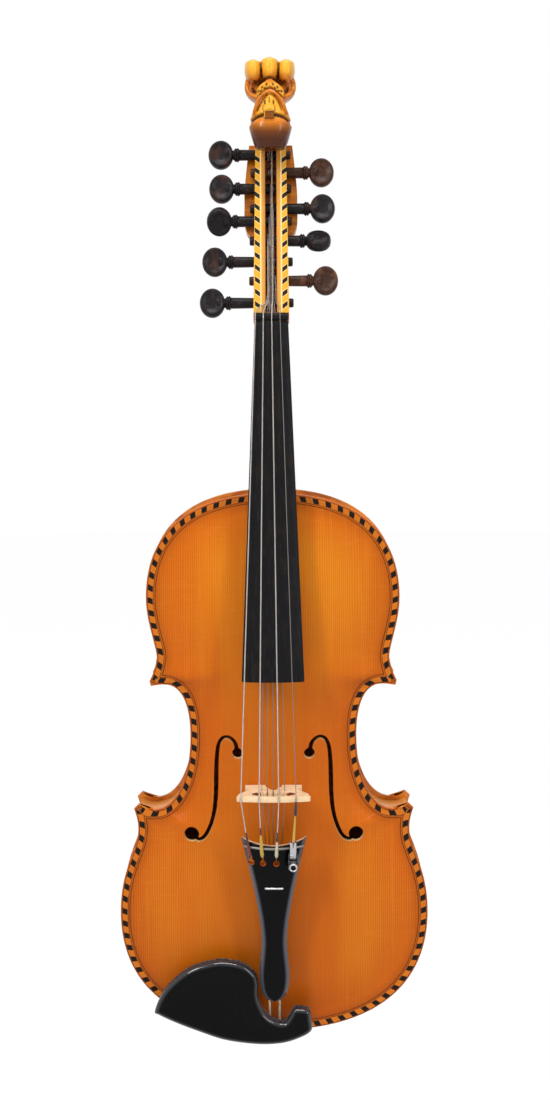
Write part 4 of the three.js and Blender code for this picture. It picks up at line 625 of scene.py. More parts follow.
def fretwork(outlines, thickness, softness):
    """A flat piece sawn along outlines in x and z, its edges eased, the middle of its depth at y 0."""
    sheet = bpy.data.curves.new("sawn", "CURVE")
    sheet.dimensions = "2D"
    sheet.fill_mode = "BOTH"
    sheet.extrude = thickness / 2 - softness
    sheet.bevel_depth = softness
    sheet.bevel_resolution = 2
    sheet.offset = -softness
    for outline in outlines:
        spline = sheet.splines.new("POLY")
        spline.points.add(len(outline) - 1)
        for point, (x, z) in zip(spline.points, outline):
            point.co = (x, z, 0, 1)
        spline.use_cyclic_u = True
    holder = show("sawn", sheet)
    mesh = bpy.data.meshes.new_from_object(holder.evaluated_get(bpy.context.evaluated_depsgraph_get()))
    points = np.array([(v.co.x, -v.co.z, v.co.y) for v in mesh.vertices])
    faces = [tuple(face.vertices) for face in mesh.polygons]
    bpy.data.objects.remove(holder)
    return points, faces


def together(*forms):
    points, faces, start = [], [], 0
    for part_points, part_faces in forms:
        points.append(np.array(part_points, float))
        faces += [tuple(v + start for v in face) for face in part_faces]
        start += len(part_points)
    return np.vstack(points), faces


# Pieces
def joined(name, points, faces, least):
    """A piece whose points closer than the least gap are one, with its faces turned outwards."""
    mesh = bpy.data.meshes.new(name)
    mesh.from_pydata(points.tolist(), [], faces)
    build = bmesh.new()
    build.from_mesh(mesh)
    bmesh.ops.remove_doubles(build, verts=build.verts, dist=least)
    bmesh.ops.recalc_face_normals(build, faces=build.faces)
    build.to_mesh(mesh)
    build.free()
    return show(name, mesh)


def shape(name, form, at=None):
    """A form in millimetres, put in its place on the fiddle."""
    points, faces = form
    matrix = np.array(FIDDLE @ at if at is not None else FIDDLE)
    return joined(name, points @ matrix[:3, :3].T + matrix[:3, 3], faces, 2e-7)


def settle(piece):
    """The piece's modifiers worked into its mesh."""
    bpy.context.view_layer.update()
    graph = bpy.context.evaluated_depsgraph_get()
    mesh = bpy.data.meshes.new_from_object(piece.evaluated_get(graph), preserve_all_data_layers=True,
                                           depsgraph=graph)
    piece.modifiers.clear()
    piece.data = mesh


def carve(piece, look, *tools, way="DIFFERENCE"):
    if not piece.data.materials:
        piece.data.materials.append(look)
    for tool in tools:
        if not tool.data.materials:
            tool.data.materials.append(look)
        step = piece.modifiers.new("carve", "BOOLEAN")
        step.operation = way
        step.object = tool
        step.solver = "EXACT"
        step.material_mode = "TRANSFER"
    settle(piece)
    for tool in tools:
        bpy.data.objects.remove(tool)


def ease(piece, width, segments=2, angle=35):
    step = piece.modifiers.new("eased edges", "BEVEL")
    step.width = width * 0.001
    step.segments = segments
    step.limit_method = "ANGLE"
    step.angle_limit = math.radians(angle)
    return piece


def fit(piece, look, body="fiddle", instead_of=(), sharp=40):
    if not piece.data.materials:
        piece.data.materials.append(look)
    piece.data.shade_smooth()
    piece.data.set_sharp_from_angle(angle=math.radians(sharp))
    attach(piece, body)
    if instead_of:
        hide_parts(*instead_of)


def paint_faces(piece, look, other, faces=0):
    """Two finishes for a piece, the other on its last faces."""
    piece.data.materials.append(look)
    piece.data.materials.append(other)
    for face in piece.data.polygons[len(piece.data.polygons) - faces:]:
        face.material_index = 1


def write_sheet(piece, name, pairs):
    layer = piece.data.uv_layers.new(name=name)
    layer.data.foreach_set("uv", np.array(pairs, np.float32).ravel())


def listed(rows, field, kind=float, wide=1):
    values = np.empty(len(rows) * wide, kind)
    rows.foreach_get(field, values)
    return values.reshape(-1, wide) if wide > 1 else values


def corner_owners(piece):
    return listed(piece.data.loops, "vertex_index", int)


def corner_points(piece, matrix):
    """The place of every face corner, and the normal of its face, in millimetres under a matrix."""
    back = np.array(matrix.inverted())
    points = listed(piece.data.vertices, "co", wide=3) @ back[:3, :3].T + back[:3, 3]
    counts = listed(piece.data.polygons, "loop_total", int)
    normals = listed(piece.data.polygons, "normal", wide=3) @ np.array(matrix.to_3x3().normalized())
    return points[corner_owners(piece)], np.repeat(normals, counts, axis=0)


# Top and back plates: the arch rises from the outline to a line up the middle, whose ends these shares give
ARCH_RUN = 60
SCOOP_DEPTH, SCOOP_IN, SCOOP_REACH = 0.55, 5, 2.4
SPINE = [(0.142, 0.335), (0.347, 0.693), (0.702, 0.866)]


def crown_at(z, arch):
    middle, reach = BODY_LENGTH * 0.504, BODY_LENGTH * 0.362
    return arch * (1 - 0.3 * ((z - middle) / reach) ** 2)


def swell(blend):
    return (1 - math.cos(math.pi * blend)) / 2


def plate_form(side, arch, flat):
    half = np.vstack(STRETCHES)
    spine = np.concatenate([BODY_LENGTH * (low + (high - low) * lengths_along(run) / lengths_along(run)[-1])
                            for run, (low, high) in zip(STRETCHES, SPINE)])
    order = list(range(len(half))) + list(range(len(half) - 2, 0, -1))
    edge = half[order].copy()
    edge[len(half):, 0] *= -1
    heart = np.column_stack((np.zeros(len(order)), spine[order]))
    way = heart - edge
    length = np.hypot(*way.T)[:, None]

    def ring(distance, blend, height):
        at = edge + way * (distance + (length - distance) * blend) / length
        if blend == 1:
            at = heart
        return np.column_stack((at[:, 0], side * (RIB_HALF + height(heart[:, 1])), at[:, 1]))

    def outside(distance, blend):
        def height(z):
            depth = distance + (ARCH_RUN - distance) * blend
            scoop = SCOOP_DEPTH * math.exp(-(((depth - SCOOP_IN) / SCOOP_REACH) ** 2))
            return np.minimum(PLATE_EDGE + (crown_at(z, arch) - PLATE_EDGE) * swell(blend) - scoop, flat)
        return ring(distance, blend, height)

    def inside(blend):
        return ring(LAND_WIDTH, blend, lambda z: (crown_at(z, arch) - PLATE_THICKNESS) * swell(blend))

    rings = [inside(b) for b in (1, 0.85, 0.7, 0.55, 0.4, 0.25, 0.1, 0)]
    rings += [ring(d, 0, lambda z, h=h: h + 0 * z) for d, h in
              ((0.5, 0), (0.1, 0.2), (0, 0.7), (0, 2.7), (0.13, 3.25), (0.5, 3.75), (1.0, 3.97))]
    rings += [outside(d, 0) for d in (1.6, 2.4, 3.2, 4, 4.8, 5.4, CHANNEL_WIDTH)]
    rings += [outside(CHANNEL_WIDTH, b) for b in
              (0.02, 0.045, 0.075, 0.11, 0.15, 0.2, 0.26, 0.33, 0.41, 0.5, 0.6, 0.7, 0.8, 0.86, 0.93, 1)]
    return skin(rings, False)


def nearest(points, run):
    """How far along a run the points lie, and how far from it."""
    start, step = run[:-1], np.diff(run, axis=0)
    offset = points[:, None, :] - start
    share = np.clip((offset * step).sum(2) / (step ** 2).sum(1), 0, 1)
    gap = offset - step * share[..., None]
    distance = np.hypot(gap[..., 0], gap[..., 1])
    pick = distance.argmin(1)
    row = np.arange(len(points))
    return lengths_along(run)[pick] + share[row, pick] * np.hypot(*step[pick].T), distance[row, pick]


def lay_inlay(piece, side):
    """The sheet that the edge inlay follows: distance along the outline, and in from it."""
    batches, unlaid = 40, (0, 60)
    corners, normals = corner_points(piece, FIDDLE)
    flat = np.column_stack((abs(corners[:, 0]), corners[:, 2]))
    pairs = np.full((len(flat), 2), 1e6)
    for part in np.array_split(np.arange(len(flat)), batches):
        for run in STRETCHES:
            along, deep = nearest(flat[part], run)
            closer = deep < pairs[part, 1]
            pairs[part[closer]] = np.column_stack((along, deep))[closer]
    hidden = side * normals[:, 1] < 0.05
    pairs[hidden] = unlaid
    write_sheet(piece, "inlay", pairs)


def smooth_arch(piece):
    """Soften the arch where it swells in from the corners."""
    build = bmesh.new()
    build.from_mesh(piece.data)
    low = RIB_HALF + PLATE_EDGE + 0.35
    back_again = FIDDLE.inverted()
    swelling = [v for v in build.verts if abs((back_again @ v.co).y) > low]
    for _ in range(60):
        bmesh.ops.smooth_vert(build, verts=swelling, factor=0.5, use_axis_y=True)
    build.to_mesh(piece.data)
    build.free()
    return piece


# Sound holes: a stem through these shares of the width and height, and a round eye at each end
HOLE_IN, HOLE_BOTTOM, HOLE_WIDTH, HOLE_HEIGHT = 22.9, 132.8, 29.9, 63.4
STEM_HALF, UPPER_EYE, LOWER_EYE = 1.4, 3.5, 4.8
STEM = [(0.02, 0.88), (0.06, 0.95), (0.19, 1), (0.33, 0.985), (0.42, 0.9), (0.455, 0.73), (0.465, 0.56),
        (0.475, 0.4), (0.515, 0.225), (0.6, 0.085), (0.72, -0.02), (0.86, -0.055), (0.96, 0)]


def sound_hole(side):
    def spot(x, z):
        return np.array((side * (HOLE_IN + x * HOLE_WIDTH), HOLE_BOTTOM + z * HOLE_HEIGHT))

    line = through([spot(*share) for share in STEM], 5)
    along = np.gradient(line, axis=0)
    along /= np.hypot(*along.T)[:, None]
    across = np.column_stack((-along[:, 1], along[:, 0]))
    width = STEM_HALF * np.interp(np.linspace(0, 1, len(line)), (0, 0.06, 0.3, 0.5, 0.7, 0.94, 1),
                            (1.0, 1.0, 0.85, 1.1, 0.9, 1.1, 1.0))[:, None]
    stem = np.vstack((line + across * width, (line - across * width)[::-1]))
    front, rear = -50, -8
    tools = [shape("stem", sawn(stem, front, rear))]
    for centre, radius in ((spot(0, 0.84), UPPER_EYE), (spot(1, 0), LOWER_EYE)):
        ring = centre + radius * np.column_stack((np.cos(full_turn(36)), np.sin(full_turn(36))))
        tools.append(shape("eye", sawn(ring, front, rear)))
    for tool in tools:
        tool.data.materials.append(CUT_SPRUCE)
    return tools


top = smooth_arch(shape("top", plate_form(-1, TOP_ARCH, TOP_ARCH)))
carve(top, SPRUCE, *sound_hole(-1), *sound_hole(1))
lay_inlay(top, -1)
fit(top, SPRUCE, instead_of=("top_plate",), sharp=50)

BUTTON_HALF = 10
heel_button = [(BUTTON_HALF * math.cos(a), BODY_LENGTH - 2 + BUTTON_HALF * math.sin(a))
               for a in np.linspace(0, math.pi, 25)]
back_form = together(plate_form(1, BACK_ARCH, BACK_ARCH - BACK_FLAT),
                     sawn(heel_button, RIB_HALF, RIB_HALF + PLATE_EDGE - GAP))
back = smooth_arch(shape("back", back_form))
fit(back, BACK_MAPLE, instead_of=("back_plate",), sharp=50)

# Ribs
RIB_TALL_HALF = RIB_HALF - GAP
outer_ribs, inner_ribs = inset_stretches(EDGE_OVERHANG), inset_stretches(EDGE_OVERHANG + RIB_THICKNESS)
for zone, outer, inner in zip(("lower", "centre", "upper"), outer_ribs, inner_ribs):
    for side, sign in (("treble", 1), ("bass", -1)):
        far, near = resample(outer, 90), resample(inner, 90)
        loops = []
        for a, b in zip(far, near):
            x, u = sign * max(a[0], 0.15), sign * max(b[0], 0.15)
            loops.append([(x, -RIB_TALL_HALF, a[1]), (x, RIB_TALL_HALF, a[1]), (u, RIB_TALL_HALF, b[1]),
                          (u, -RIB_TALL_HALF, b[1])])
        rib = shape(f"{zone}_{side}_rib", skin(loops))
        fit(rib, RIB_MAPLE, instead_of=(f"{zone}_rib_{side}",), sharp=30)


# Neck
def neck_form():
    def front(z):
        return -(NECK_FRONT + NECK_RISE * (NUT_BOTTOM - z) / NECK_LENGTH)

    heel, thick = RIB_HALF - GAP, 14
    shaft = BODY_LENGTH + 20
    middle = (shaft + NUT_BOTTOM) / 2
    stations = [(346, 24, heel, 0.35), (352.3, 24, heel, 0.4), (358, 24, heel - 7, 0.6),
                (364, 23.6, (heel + front(shaft) + thick) / 2.6, 0.8),
                (shaft, 23.4, front(shaft) + thick, 0.9), (middle, 22.2, front(middle) + thick, 0.9),
                (NUT_BOTTOM, 21, front(NUT_BOTTOM) + thick, 0.9),
                (NUT_TOP + GAP, 21, front(NUT_BOTTOM) + 18.4, 0.85)]
    loops = []
    for z, width, rear, full in through(stations, 5):
        face = -NECK_FRONT if z > NUT_BOTTOM - 4.4 else front(z)
        angles = np.linspace(0, math.pi, 41)
        x = width / 2 * np.sign(np.cos(angles)) * abs(np.cos(angles)) ** full
        y = face + (rear - face) * np.sin(angles).clip(0) ** full
        loops.append(np.column_stack((x, y, np.full(41, z))))
    return skin(loops)


neck = shape("neck", neck_form())
fit(neck, NECK_MAPLE, sharp=60)

# Pegs: side, place as a share of the pegbox, turn at rest, and reach from the middle
PEGS = {
    "bass_peg_1": (-1, 0.929, 0, 31.7), "bass_peg_2": (-1, 0.733, 0, 31.2),
    "bass_peg_3": (-1, 0.546, 0.7, 32.7), "bass_peg_4": (-1, 0.315, 0.15, 35.5),
    "bass_peg_5": (-1, 0.083, 0, 37.0),
    "treble_peg_1": (1, 0.825, 0, 32.2), "treble_peg_2": (1, 0.618, 0, 32.7),
    "treble_peg_3": (1, 0.434, -0.75, 29.9), "treble_peg_4": (1, 0.207, 0.1, 34.2),
}


# Pegbox: two inlaid walls, a channel, and the shoulders that flare out behind them
def peg_place(name, turn=0.0):
    sign, share = PEGS[name][:2]
    middle = Vector((0, PEG_DEPTH, share * PEGBOX_LENGTH))
    place = PEGBOX @ Matrix.Translation(middle) @ Matrix.Rotation(turn, 4, "X")
    return place if sign > 0 else place @ Matrix.Rotation(math.pi, 4, "Z")


def pegbox():
    lower_half, upper_half, flare_half = 11.2, 9.6, 16.8
    front = [(-lower_half, -2), (lower_half, -2), (upper_half, 118), (-upper_half, 118)]
    shoulders = through([(0.62, 0.43), (0.7, 0.46), (0.9, 0.5), (1, 0.56), (1, 0.66), (1, 0.72),
                         (0.95, 0.82), (0.8, 1.03)], 5) * (flare_half, PEGBOX_LENGTH)
    flare = np.vstack((shoulders, (shoulders * (-1, 1))[::-1]))
    rear = chain(np.array([(-2, -4), (-2, PEGBOX_LENGTH), (19, PEGBOX_LENGTH)]),
                 curve(16, (19, PEGBOX_LENGTH), (PEGBOX_DEPTH, 87), (PEGBOX_DEPTH, 46.4)),
                 curve(16, (PEGBOX_DEPTH, 46.4), (PEGBOX_DEPTH, 11.6), (15.84, -4)))
    lip, wall_top, floor_at = 7.0, 2.4, 16
    channel = [(lip, -1), (CHANNEL_HALF, wall_top), (CHANNEL_HALF, floor_at), (-CHANNEL_HALF, floor_at),
               (-CHANNEL_HALF, wall_top), (-lip, -1)]
    piece = shape("pegbox", sawn(front, 0, 24), PEGBOX)
    carve(piece, PEGBOX_MAPLE, shape("flare", sawn(flare, 14.4, 24), PEGBOX), way="UNION")
    carve(piece, PEGBOX_MAPLE, shape("rear", sawn(rear, -20, 20, "yz"), PEGBOX), way="INTERSECT")
    tools = [shape("channel", sawn(channel, GAP, PEGBOX_LENGTH - 3, "xy"), PEGBOX),
             shape("seat", block((-25, -60, 440), (25, -NECK_FRONT, NUT_TOP + GAP)))]
    peg_hole = turned([(-19, 0), (-19, 3.25), (19, 3.95), (19, 0)], 32)
    tools += [shape("hole", peg_hole, peg_place(name)) for name in PEGS]
    carve(piece, PEGBOX_MAPLE, *tools)
    ease(piece, 0.45)
    settle(piece)
    corners, normals = corner_points(piece, FIDDLE @ PEGBOX)
    face = (normals[:, 1] < -0.8) & (abs(corners[:, 1]) < 0.7)
    slope = (normals[:, 1] < -0.5) & (abs(corners[:, 0]) < 6.5) & (corners[:, 1] < 2.8)
    inner_edge, on_slope, bare = 5.9, -30.0, -50.0
    blank = np.column_stack((np.zeros(len(face)), np.where(slope, on_slope, bare)))
    inlaid = np.column_stack((corners[:, 2], abs(corners[:, 0]) - inner_edge))
    write_sheet(piece, "inlay", np.where(face[:, None], inlaid, blank))
    return piece


fit(pegbox(), PEGBOX_MAPLE, instead_of=("neck_pegbox",), sharp=35)


# Even skins for carved forms
def even_skin(form, size, rounds):
    """One skin of small even faces over rough forms that overlap."""
    holder = joined("rough", form[0], form[1], 1e-4)
    step = holder.modifiers.new("even", "REMESH")
    step.mode = "VOXEL"
    step.voxel_size = size
    soft = holder.modifiers.new("soft", "SMOOTH")
    soft.factor = 0.5
    soft.iterations = rounds
    settle(holder)
    points = listed(holder.data.vertices, "co", wide=3)
    normals = listed(holder.data.vertices, "normal", wide=3)
    faces = [tuple(face.vertices) for face in holder.data.polygons]
    bpy.data.objects.remove(holder)
    return points, normals, faces


# Carved head: a crown of three lobes, a pitted band, brows, slit eyes, blunt nose and a heavy jaw
def oval_loft(rows, full=1.0, sides=56):
    """Rows of height, half width, front and back of an oval section, joined smoothly."""
    angles = full_turn(sides)
    loops = []
    for z, half, front, rear in through(rows, 4):
        x = half * np.sign(np.cos(angles)) * abs(np.cos(angles)) ** full
        y = (front + rear) / 2 + (rear - front) / 2 * np.sign(np.sin(angles)) * abs(np.sin(angles)) ** full
        loops.append(np.column_stack((x, y, np.full(sides, z))))
    return skin(loops)


def lobe(x, z, half, front, rear, tall, foot):
    """A plump lobe, squarer than a ball and narrower at its foot."""
    square, deep = 3.2, (front + rear) / 2
    rows = []
    for share in np.linspace(-0.99, 0.99, 9):
        wide = (1 - abs(share) ** square) ** (1 / square)
        taper = 1 - foot * max(-share, 0)
        rows.append((z + tall * share, half * wide * taper, deep + (front - deep) * wide,
                     deep + (rear - deep) * wide))
    points, faces = oval_loft(rows, 0.86)
    return points + (x, 0, 0), faces


def flat_band(points, width, thick):
    """A band of three rods, one above the other, through points on the face."""
    path = through(points, 5)
    return together(*[rod(path + (0, 0, up), thick, 10) for up in (width / 2, -width / 2, 0)])


def carved_head():
    collar = oval_loft([(-2, 9.4, -4.5, 28.5), (14, 8.6, -5.5, 26), (20, 7.6, -7, 23), (23.5, 9, -9, 21),
                        (26.5, 13.2, -11.5, 20), (30, 15.6, -12.5, 19), (34, 15.4, -11.5, 18),
                        (38, 14.6, -10, 16), (44, 12, -6, 12)], 0.9)
    jaw = oval_loft([(-6.3, 7.6, -18.5, -2), (-6.1, 8.7, -21, -2), (-5.2, 9.4, -23, -2),
                     (-2, 10.9, -25, -1), (2, 12.1, -26.6, 0), (6, 13.2, -27, 0), (8.4, 13.5, -26.6, 0),
                     (10, 12.9, -26.2, 0), (11.6, 10, -25.6, 0), (12.6, 5, -25, 0)], 0.82)
    face = oval_loft([(9.5, 13.2, -24.5, 0), (11.5, 12.9, -25.6, 0), (14.5, 11.9, -26, 0),
                      (18.5, 10.4, -25.6, 0), (22.5, 8.9, -24.6, 0), (26, 7.6, -23, 0), (29, 6.3, -21.4, 0),
                      (32, 4, -19.6, 0), (34.5, 1.6, -17.5, 0)], 0.92)
    nose = ball((-0.8, -25.2, 18), (3.3, 3.0, 2.5))
    flanges = [ball((x, -26.2, 17.2), (1.5, 1.7, 1.5)) for x in (-3.2, 1.6)]
    teeth = block((-4.2, -27.0, 11.8), (2.4, -20, 16.6))
    lobes = [lobe(-10.6, 41.7, 5.5, -22, 8, 7.9, 0.25), lobe(-0.4, 42.8, 6.2, -22.6, 9, 8.2, 0.35),
             lobe(9.9, 41.7, 5.6, -22, 8, 7.9, 0.25)]
    brows = [rod(through([(-0.3, -22.6, 29.2), (s * 4.4 - 0.2, -24.2, 26.6), (s * 7.5 - 0.2, -23.9, 22),
                          (s * 9.4 - 0.2, -22.8, 17.6), (s * 10.6, -21, 14.8)], 5),
                 np.interp(np.arange(21), (0, 8, 20), (1.2, 1.5, 0.8)), 10) for s in (-1, 1)]
    wings = [rod(through([(s * 8.4, -18.5, 25.4), (s * 11.6, -16.2, 27), (s * 14, -14, 30),
                          (s * 14.4, -12.4, 34.5), (s * 13.6, -12, 38)], 5),
                 np.interp(np.arange(21), (0, 10, 20), (1.2, 1.9, 1.2)), 12) for s in (-1, 1)]
    band = flat_band([(-7.6, -19.6, 28.0), (-5.4, -21.2, 30.6), (-2.7, -22.3, 32.4), (-0.3, -22.8, 33.9),
                      (2.4, -22.3, 32.2), (5.4, -21.2, 30), (8.2, -19.6, 27)], 2.6, 1.15)
    forms = together(collar, jaw, face, nose, teeth, band, *flanges, *lobes, *brows, *wings)
    points, normals, faces = even_skin(forms, 0.38, 3)
    front = points[:, 1] < -8
    flat = points[:, (0, 2)]
    cuts = np.zeros(len(points))
    dark = np.zeros(len(points))

    # Each groove is cut in and painted dark by its colour share, as painted shade in the recess.
    def groove(line, width, depth, colour=1.0, smooth=True):
        run = through(line, 6) if smooth else np.array(line, float)
        near = np.where(front, np.exp(-((nearest(flat, run)[1] / width) ** 2)), 0)
        cuts[:] = np.maximum(cuts, depth * near)
        dark[:] = np.maximum(dark, colour * near)

    for s in (-1, 1):
        mouth_end = -4.9 if s < 0 else 3.0
        for shift in (-0.45, 0, 0.45):
            groove([(s * 13.4 - 0.2, 9.3 + shift), (s * 10.6 - 0.2, 11.9 + shift),
                    (s * 7.9 - 0.2, 13.2 + shift), (mouth_end, 13.9 + shift)], 0.62, 2.4)
        groove([(s * 5.4 - 0.3, 50), (s * 5.5 - 0.3, 45), (s * 5.2 - 0.3, 40), (s * 4.4 - 0.3, 36)],
               0.42, 1.1, 0.85)
        groove([(s * 9.2 - 0.3, 34.6), (s * 6.8 - 0.3, 34.8), (s * 5.2 - 0.3, 36.4)], 1.0, 1.1, 0.75)
        groove([(s * 9.8, 29.6), (s * 11.4, 30.6), (s * 11.8, 32)], 1.0, 1.4, 0.85)
        groove([(s * 2.85 - 0.8, 22.8), (s * 2.9 - 0.8, 20.9)], 0.5, 1.1, 1, False)
        groove([(s * 1.0 - 0.5, 27), (s * 4.4 - 0.5, 25), (s * 6.2 - 0.5, 21), (s * 7.6 - 0.4, 17)],
               0.4, 0.7, 0.5)
        groove([(s * 3.3 - 0.9, 20.2), (s * 4.1 - 0.9, 18.4), (s * 3.7 - 0.9, 16.2)], 0.35, 0.6, 0.5)
        groove([(s * 0.6 - 0.3, 30.9), (s * 4.4 - 0.3, 28.2), (s * 7.4, 25)], 0.35, 0.7, 0.7)
        groove([(s * 3.4 - 0.9, 16.2), (s * 3.4 - 0.9, 12)], 0.25, 0.5, 0.6, False)
        for x, z in ((1.9, 32.6), (2.9, 30.2), (4.6, 30.9), (5.4, 28.6), (7.2, 28.6)):
            groove([(s * x - 0.3, z + 0.35), (s * (x + 0.5) - 0.3, z - 0.35)], 0.42, 1.3, 1, False)
    groove([(-0.7, 24.8), (-0.7, 21.4)], 0.3, 0.7, 0.9)
    groove([(-4.3, 36.2), (-0.4, 37), (3.6, 36.2)], 0.8, 0.9, 0.75)
    points = points - normals * cuts[:, None]
    # Painted light and shade: the jaw's underside and the teeth dark, the lit tops of the face and lobes
    # light.
    height, across = flat[:, 1], abs(flat[:, 0] + 0.5)
    light_and_shade = np.interp(height, (-6, -1, 4, 8, 10.5, 13.5, 17, 28, 33, 35.5, 37, 43), (
        0, 0.0, 0.1, 0.28, 0.5, 0.8, 0.9, 0.85, 0.85, 0.5, 0.6, 0.98))
    _, ridge = nearest(flat, through([(-10.8, 15), (-7.7, 22), (-4.4, 27), (-0.4, 29.6), (3.8, 27),
                                      (7.1, 22), (10.4, 15)], 6))
    light_and_shade = np.where((ridge < 1.5) & (height > 14), 0.52, light_and_shade)
    light_and_shade = np.where((across > 8.6) & (height > 22) & (height < 35), 0.5, light_and_shade)
    light_and_shade = np.where((across < 2.9) & (height > 11.5) & (height < 16.2), 0.16, light_and_shade)
    light_and_shade = np.where(points[:, 1] > -6, 0.45, light_and_shade)
    inner = np.array(PEGBOX.inverted() @ HEAD)
    placed = points @ inner[:3, :3].T + inner[:3, 3]
    behind, seat = placed[:, 1] > -0.35, PEGBOX_LENGTH + GAP
    placed[behind & (placed[:, 2] < seat), 2] = seat
    piece = shape("head", (placed, faces), PEGBOX)
    write_sheet(piece, "carving_light_and_shade", np.column_stack((dark, light_and_shade))[corner_owners(piece)])
    return piece


fit(carved_head(), HEAD_MAPLE, instead_of=("carved_head",), sharp=70)


# Fingerboard and nut
def fingerboard_form():
    neck_end = BODY_LENGTH - GAP
    loops = []
    for z in (236.05, 236.4, 237.2, 260, 290, 320, 345, 351.5, 352, 380, 410, 440, 459.5, 460.0, 460.3):
        half = (BOARD_NARROW + (BOARD_WIDE - BOARD_NARROW) * (NUT_BOTTOM - z) / BOARD_LENGTH) / 2
        crown = 2 * half * 2 / BOARD_WIDE
        face = -(NECK_FRONT + 5.5 + 24 * (NUT_BOTTOM - z) / BOARD_LENGTH)
        if z < neck_end:
            base = min(face + 6.5 + (z - BOARD_FOOT) / (neck_end - BOARD_FOOT) * 1.2, -24.4)
        else:
            base = -(NECK_FRONT + NECK_RISE * (NUT_BOTTOM - z) / NECK_LENGTH) - GAP
        ease_in = 0.5 if z in (236.05, 460.3) else 0.15 if z in (236.4, 460.0) else 0.0
        across = np.linspace(-1, 1, 33)
        rim = 0.7 * (abs(across) ** 24)
        shell = [(half * a * (1 - ease_in / half), face + crown * a * a + r + ease_in, z)
                 for a, r in zip(across, rim)]
        groove = max(min(6.4, half - 3), 2)
        roof = face + crown + 2.2
        under = [(half - ease_in, base, z), (groove, base, z), (groove * 0.9, (base + roof) / 2, z),
                 (groove * 0.5, roof, z), (-groove * 0.5, roof, z), (-groove * 0.9, (base + roof) / 2, z),
                 (-groove, base, z), (-half + ease_in, base, z)]
        loops.append(shell + under)
    return skin(loops)


fit(shape("fingerboard_piece", fingerboard_form()), BOARD_EBONY, instead_of=("fingerboard",),
    sharp=45)


def nut_form():
    half = BOARD_NARROW / 2
    loops = []
    for x in np.linspace(-half, half, 43):
        low = -NECK_FRONT - GAP if abs(x) > 6.5 else -NECK_FRONT - 3.4
        notch = max(math.exp(-(((x - place) / 0.5) ** 2)) for place in (-10.0, -5.0, 0.2, 5.4))
        face = NUT_FACE + 0.5 * (x / half) ** 2 + 0.22 * notch
        loops.append([(x, low, NUT_BOTTOM), (x, face + 1.2, NUT_BOTTOM), (x, face + 0.3, 461.0),
                      (x, face, 461.8), (x, face + 0.2, 463.4), (x, face + 0.9, 464.6),
                      (x, face + 1.8, NUT_TOP), (x, low, NUT_TOP)])
    return skin(loops)


fit(shape("nut_piece", nut_form()), BOARD_EBONY, instead_of=("nut",), sharp=50)


# Turned pegs with dished oval heads
def peg_forms(share, reach):
    head_half, head_tall_half, head_thick_half = 8, 9.3, 4
    wall = (22.4 - 3.2 * share) / 2
    tip, neck = -wall - 3, reach - head_half + 1.1
    collar = neck - 4.5
    shaft = turned([(tip, 0), (tip, 2.3), (tip + 0.5, 2.75), (tip + 1.2, 2.85), (collar - 2.4, 3.5),
                    (collar - 0.5, 3.5), (collar - 0.1, 3.9), (collar + 0.4, 4.5), (collar + 1.0, 4.5),
                    (collar + 1.4, 4.0), (collar + 1.8, 4.35), (collar + 2.4, 4.3), (collar + 2.9, 3.5),
                    (neck - 0.7, 2.75), (neck + 0.6, 2.8), (neck + 2.0, 3.6), (neck + 4, 3.8),
                    (neck + 5, 0)], 36)
    dish = [(0.0, 0.5), (0.3, 0.52), (0.52, 0.58), (0.7, 0.74), (0.82, 0.84), (0.9, 0.8), (0.965, 0.58),
            (1.0, 0.2)]
    profile = [(-head_thick_half * y, head_tall_half * r) for r, y in dish]
    profile += [(head_thick_half * y, head_tall_half * r) for r, y in reversed(dish)]
    points, faces = turned(profile, 48, "y", head_half / head_tall_half)
    return together(shaft, (points + (reach, 0, 0), faces))


for name, (_, share, turn, reach) in PEGS.items():
    wood = BROWN_PEG if name in ("treble_peg_1", "treble_peg_4") else PEG_EBONY
    peg = shape(f"turned_{name}", peg_forms(share, reach), peg_place(name, turn))
    fit(peg, wood, name, (name,), 45)

# Strings: peg, places across the nut, bridge, tailpiece and pegbox channel, and half their thickness
PLAYING = {
    "string_g": ("bass_peg_5", -10.0, -20.41, -14.79, -2.9, 0.4),
    "string_d": ("treble_peg_3", -5.0, -9.0, -7.21, -2.0, 0.4),
    "string_a": ("bass_peg_1", 0.2, 3.2, 1.61, 0.7, 0.4),
    "string_e": ("treble_peg_4", 5.4, 14.0, 11.21, 2.9, 0.25),
}
UNDER_RADIUS = 0.25
UNDER = {
    "understring_1": ("bass_peg_4", -2.6, -7.39, -2.0), "understring_2": ("bass_peg_3", -1.3, -3.88, -1.1),
    "understring_3": ("treble_peg_2", 2.6, 7.02, 1.6), "understring_4": ("bass_peg_2", 0, -0.18, -0.2),
    "understring_5": ("treble_peg_1", 1.3, 3.42, 0.7),
}
PLATE_TOP = -(RIB_HALF + crown_at(BRIDGE_HEIGHT, TOP_ARCH))
BRIDGE_TOP = PLATE_TOP - BRIDGE_RISE


def bridge_top_at(x):
    return BRIDGE_TOP + BRIDGE_DROP * (x / (BRIDGE_WIDTH / 2)) ** 2


def tail_drop(x):
    return TAIL_CURVE - math.sqrt(TAIL_CURVE ** 2 - x * x)


def turns_on(peg, lane, radius):
    """Two turns of a string round its peg, from its lane towards the middle."""
    sign, share = PEGS[peg][:2]
    inward = -1 if lane > 0 else 1
    steps, clear = 28, 0.45
    points = []
    for i in range(2 * steps + 1):
        angle = i / steps * 2 * math.pi
        x = lane + inward * (2 * radius + 0.5) * i / steps
        thick = 2.8 + 0.7 * (x * sign + 18.8) / 37.6 + clear + radius
        points.append(PEGBOX @ Vector((x, PEG_DEPTH - thick * math.cos(angle),
                                       share * PEGBOX_LENGTH + thick * math.sin(angle))))
    return points


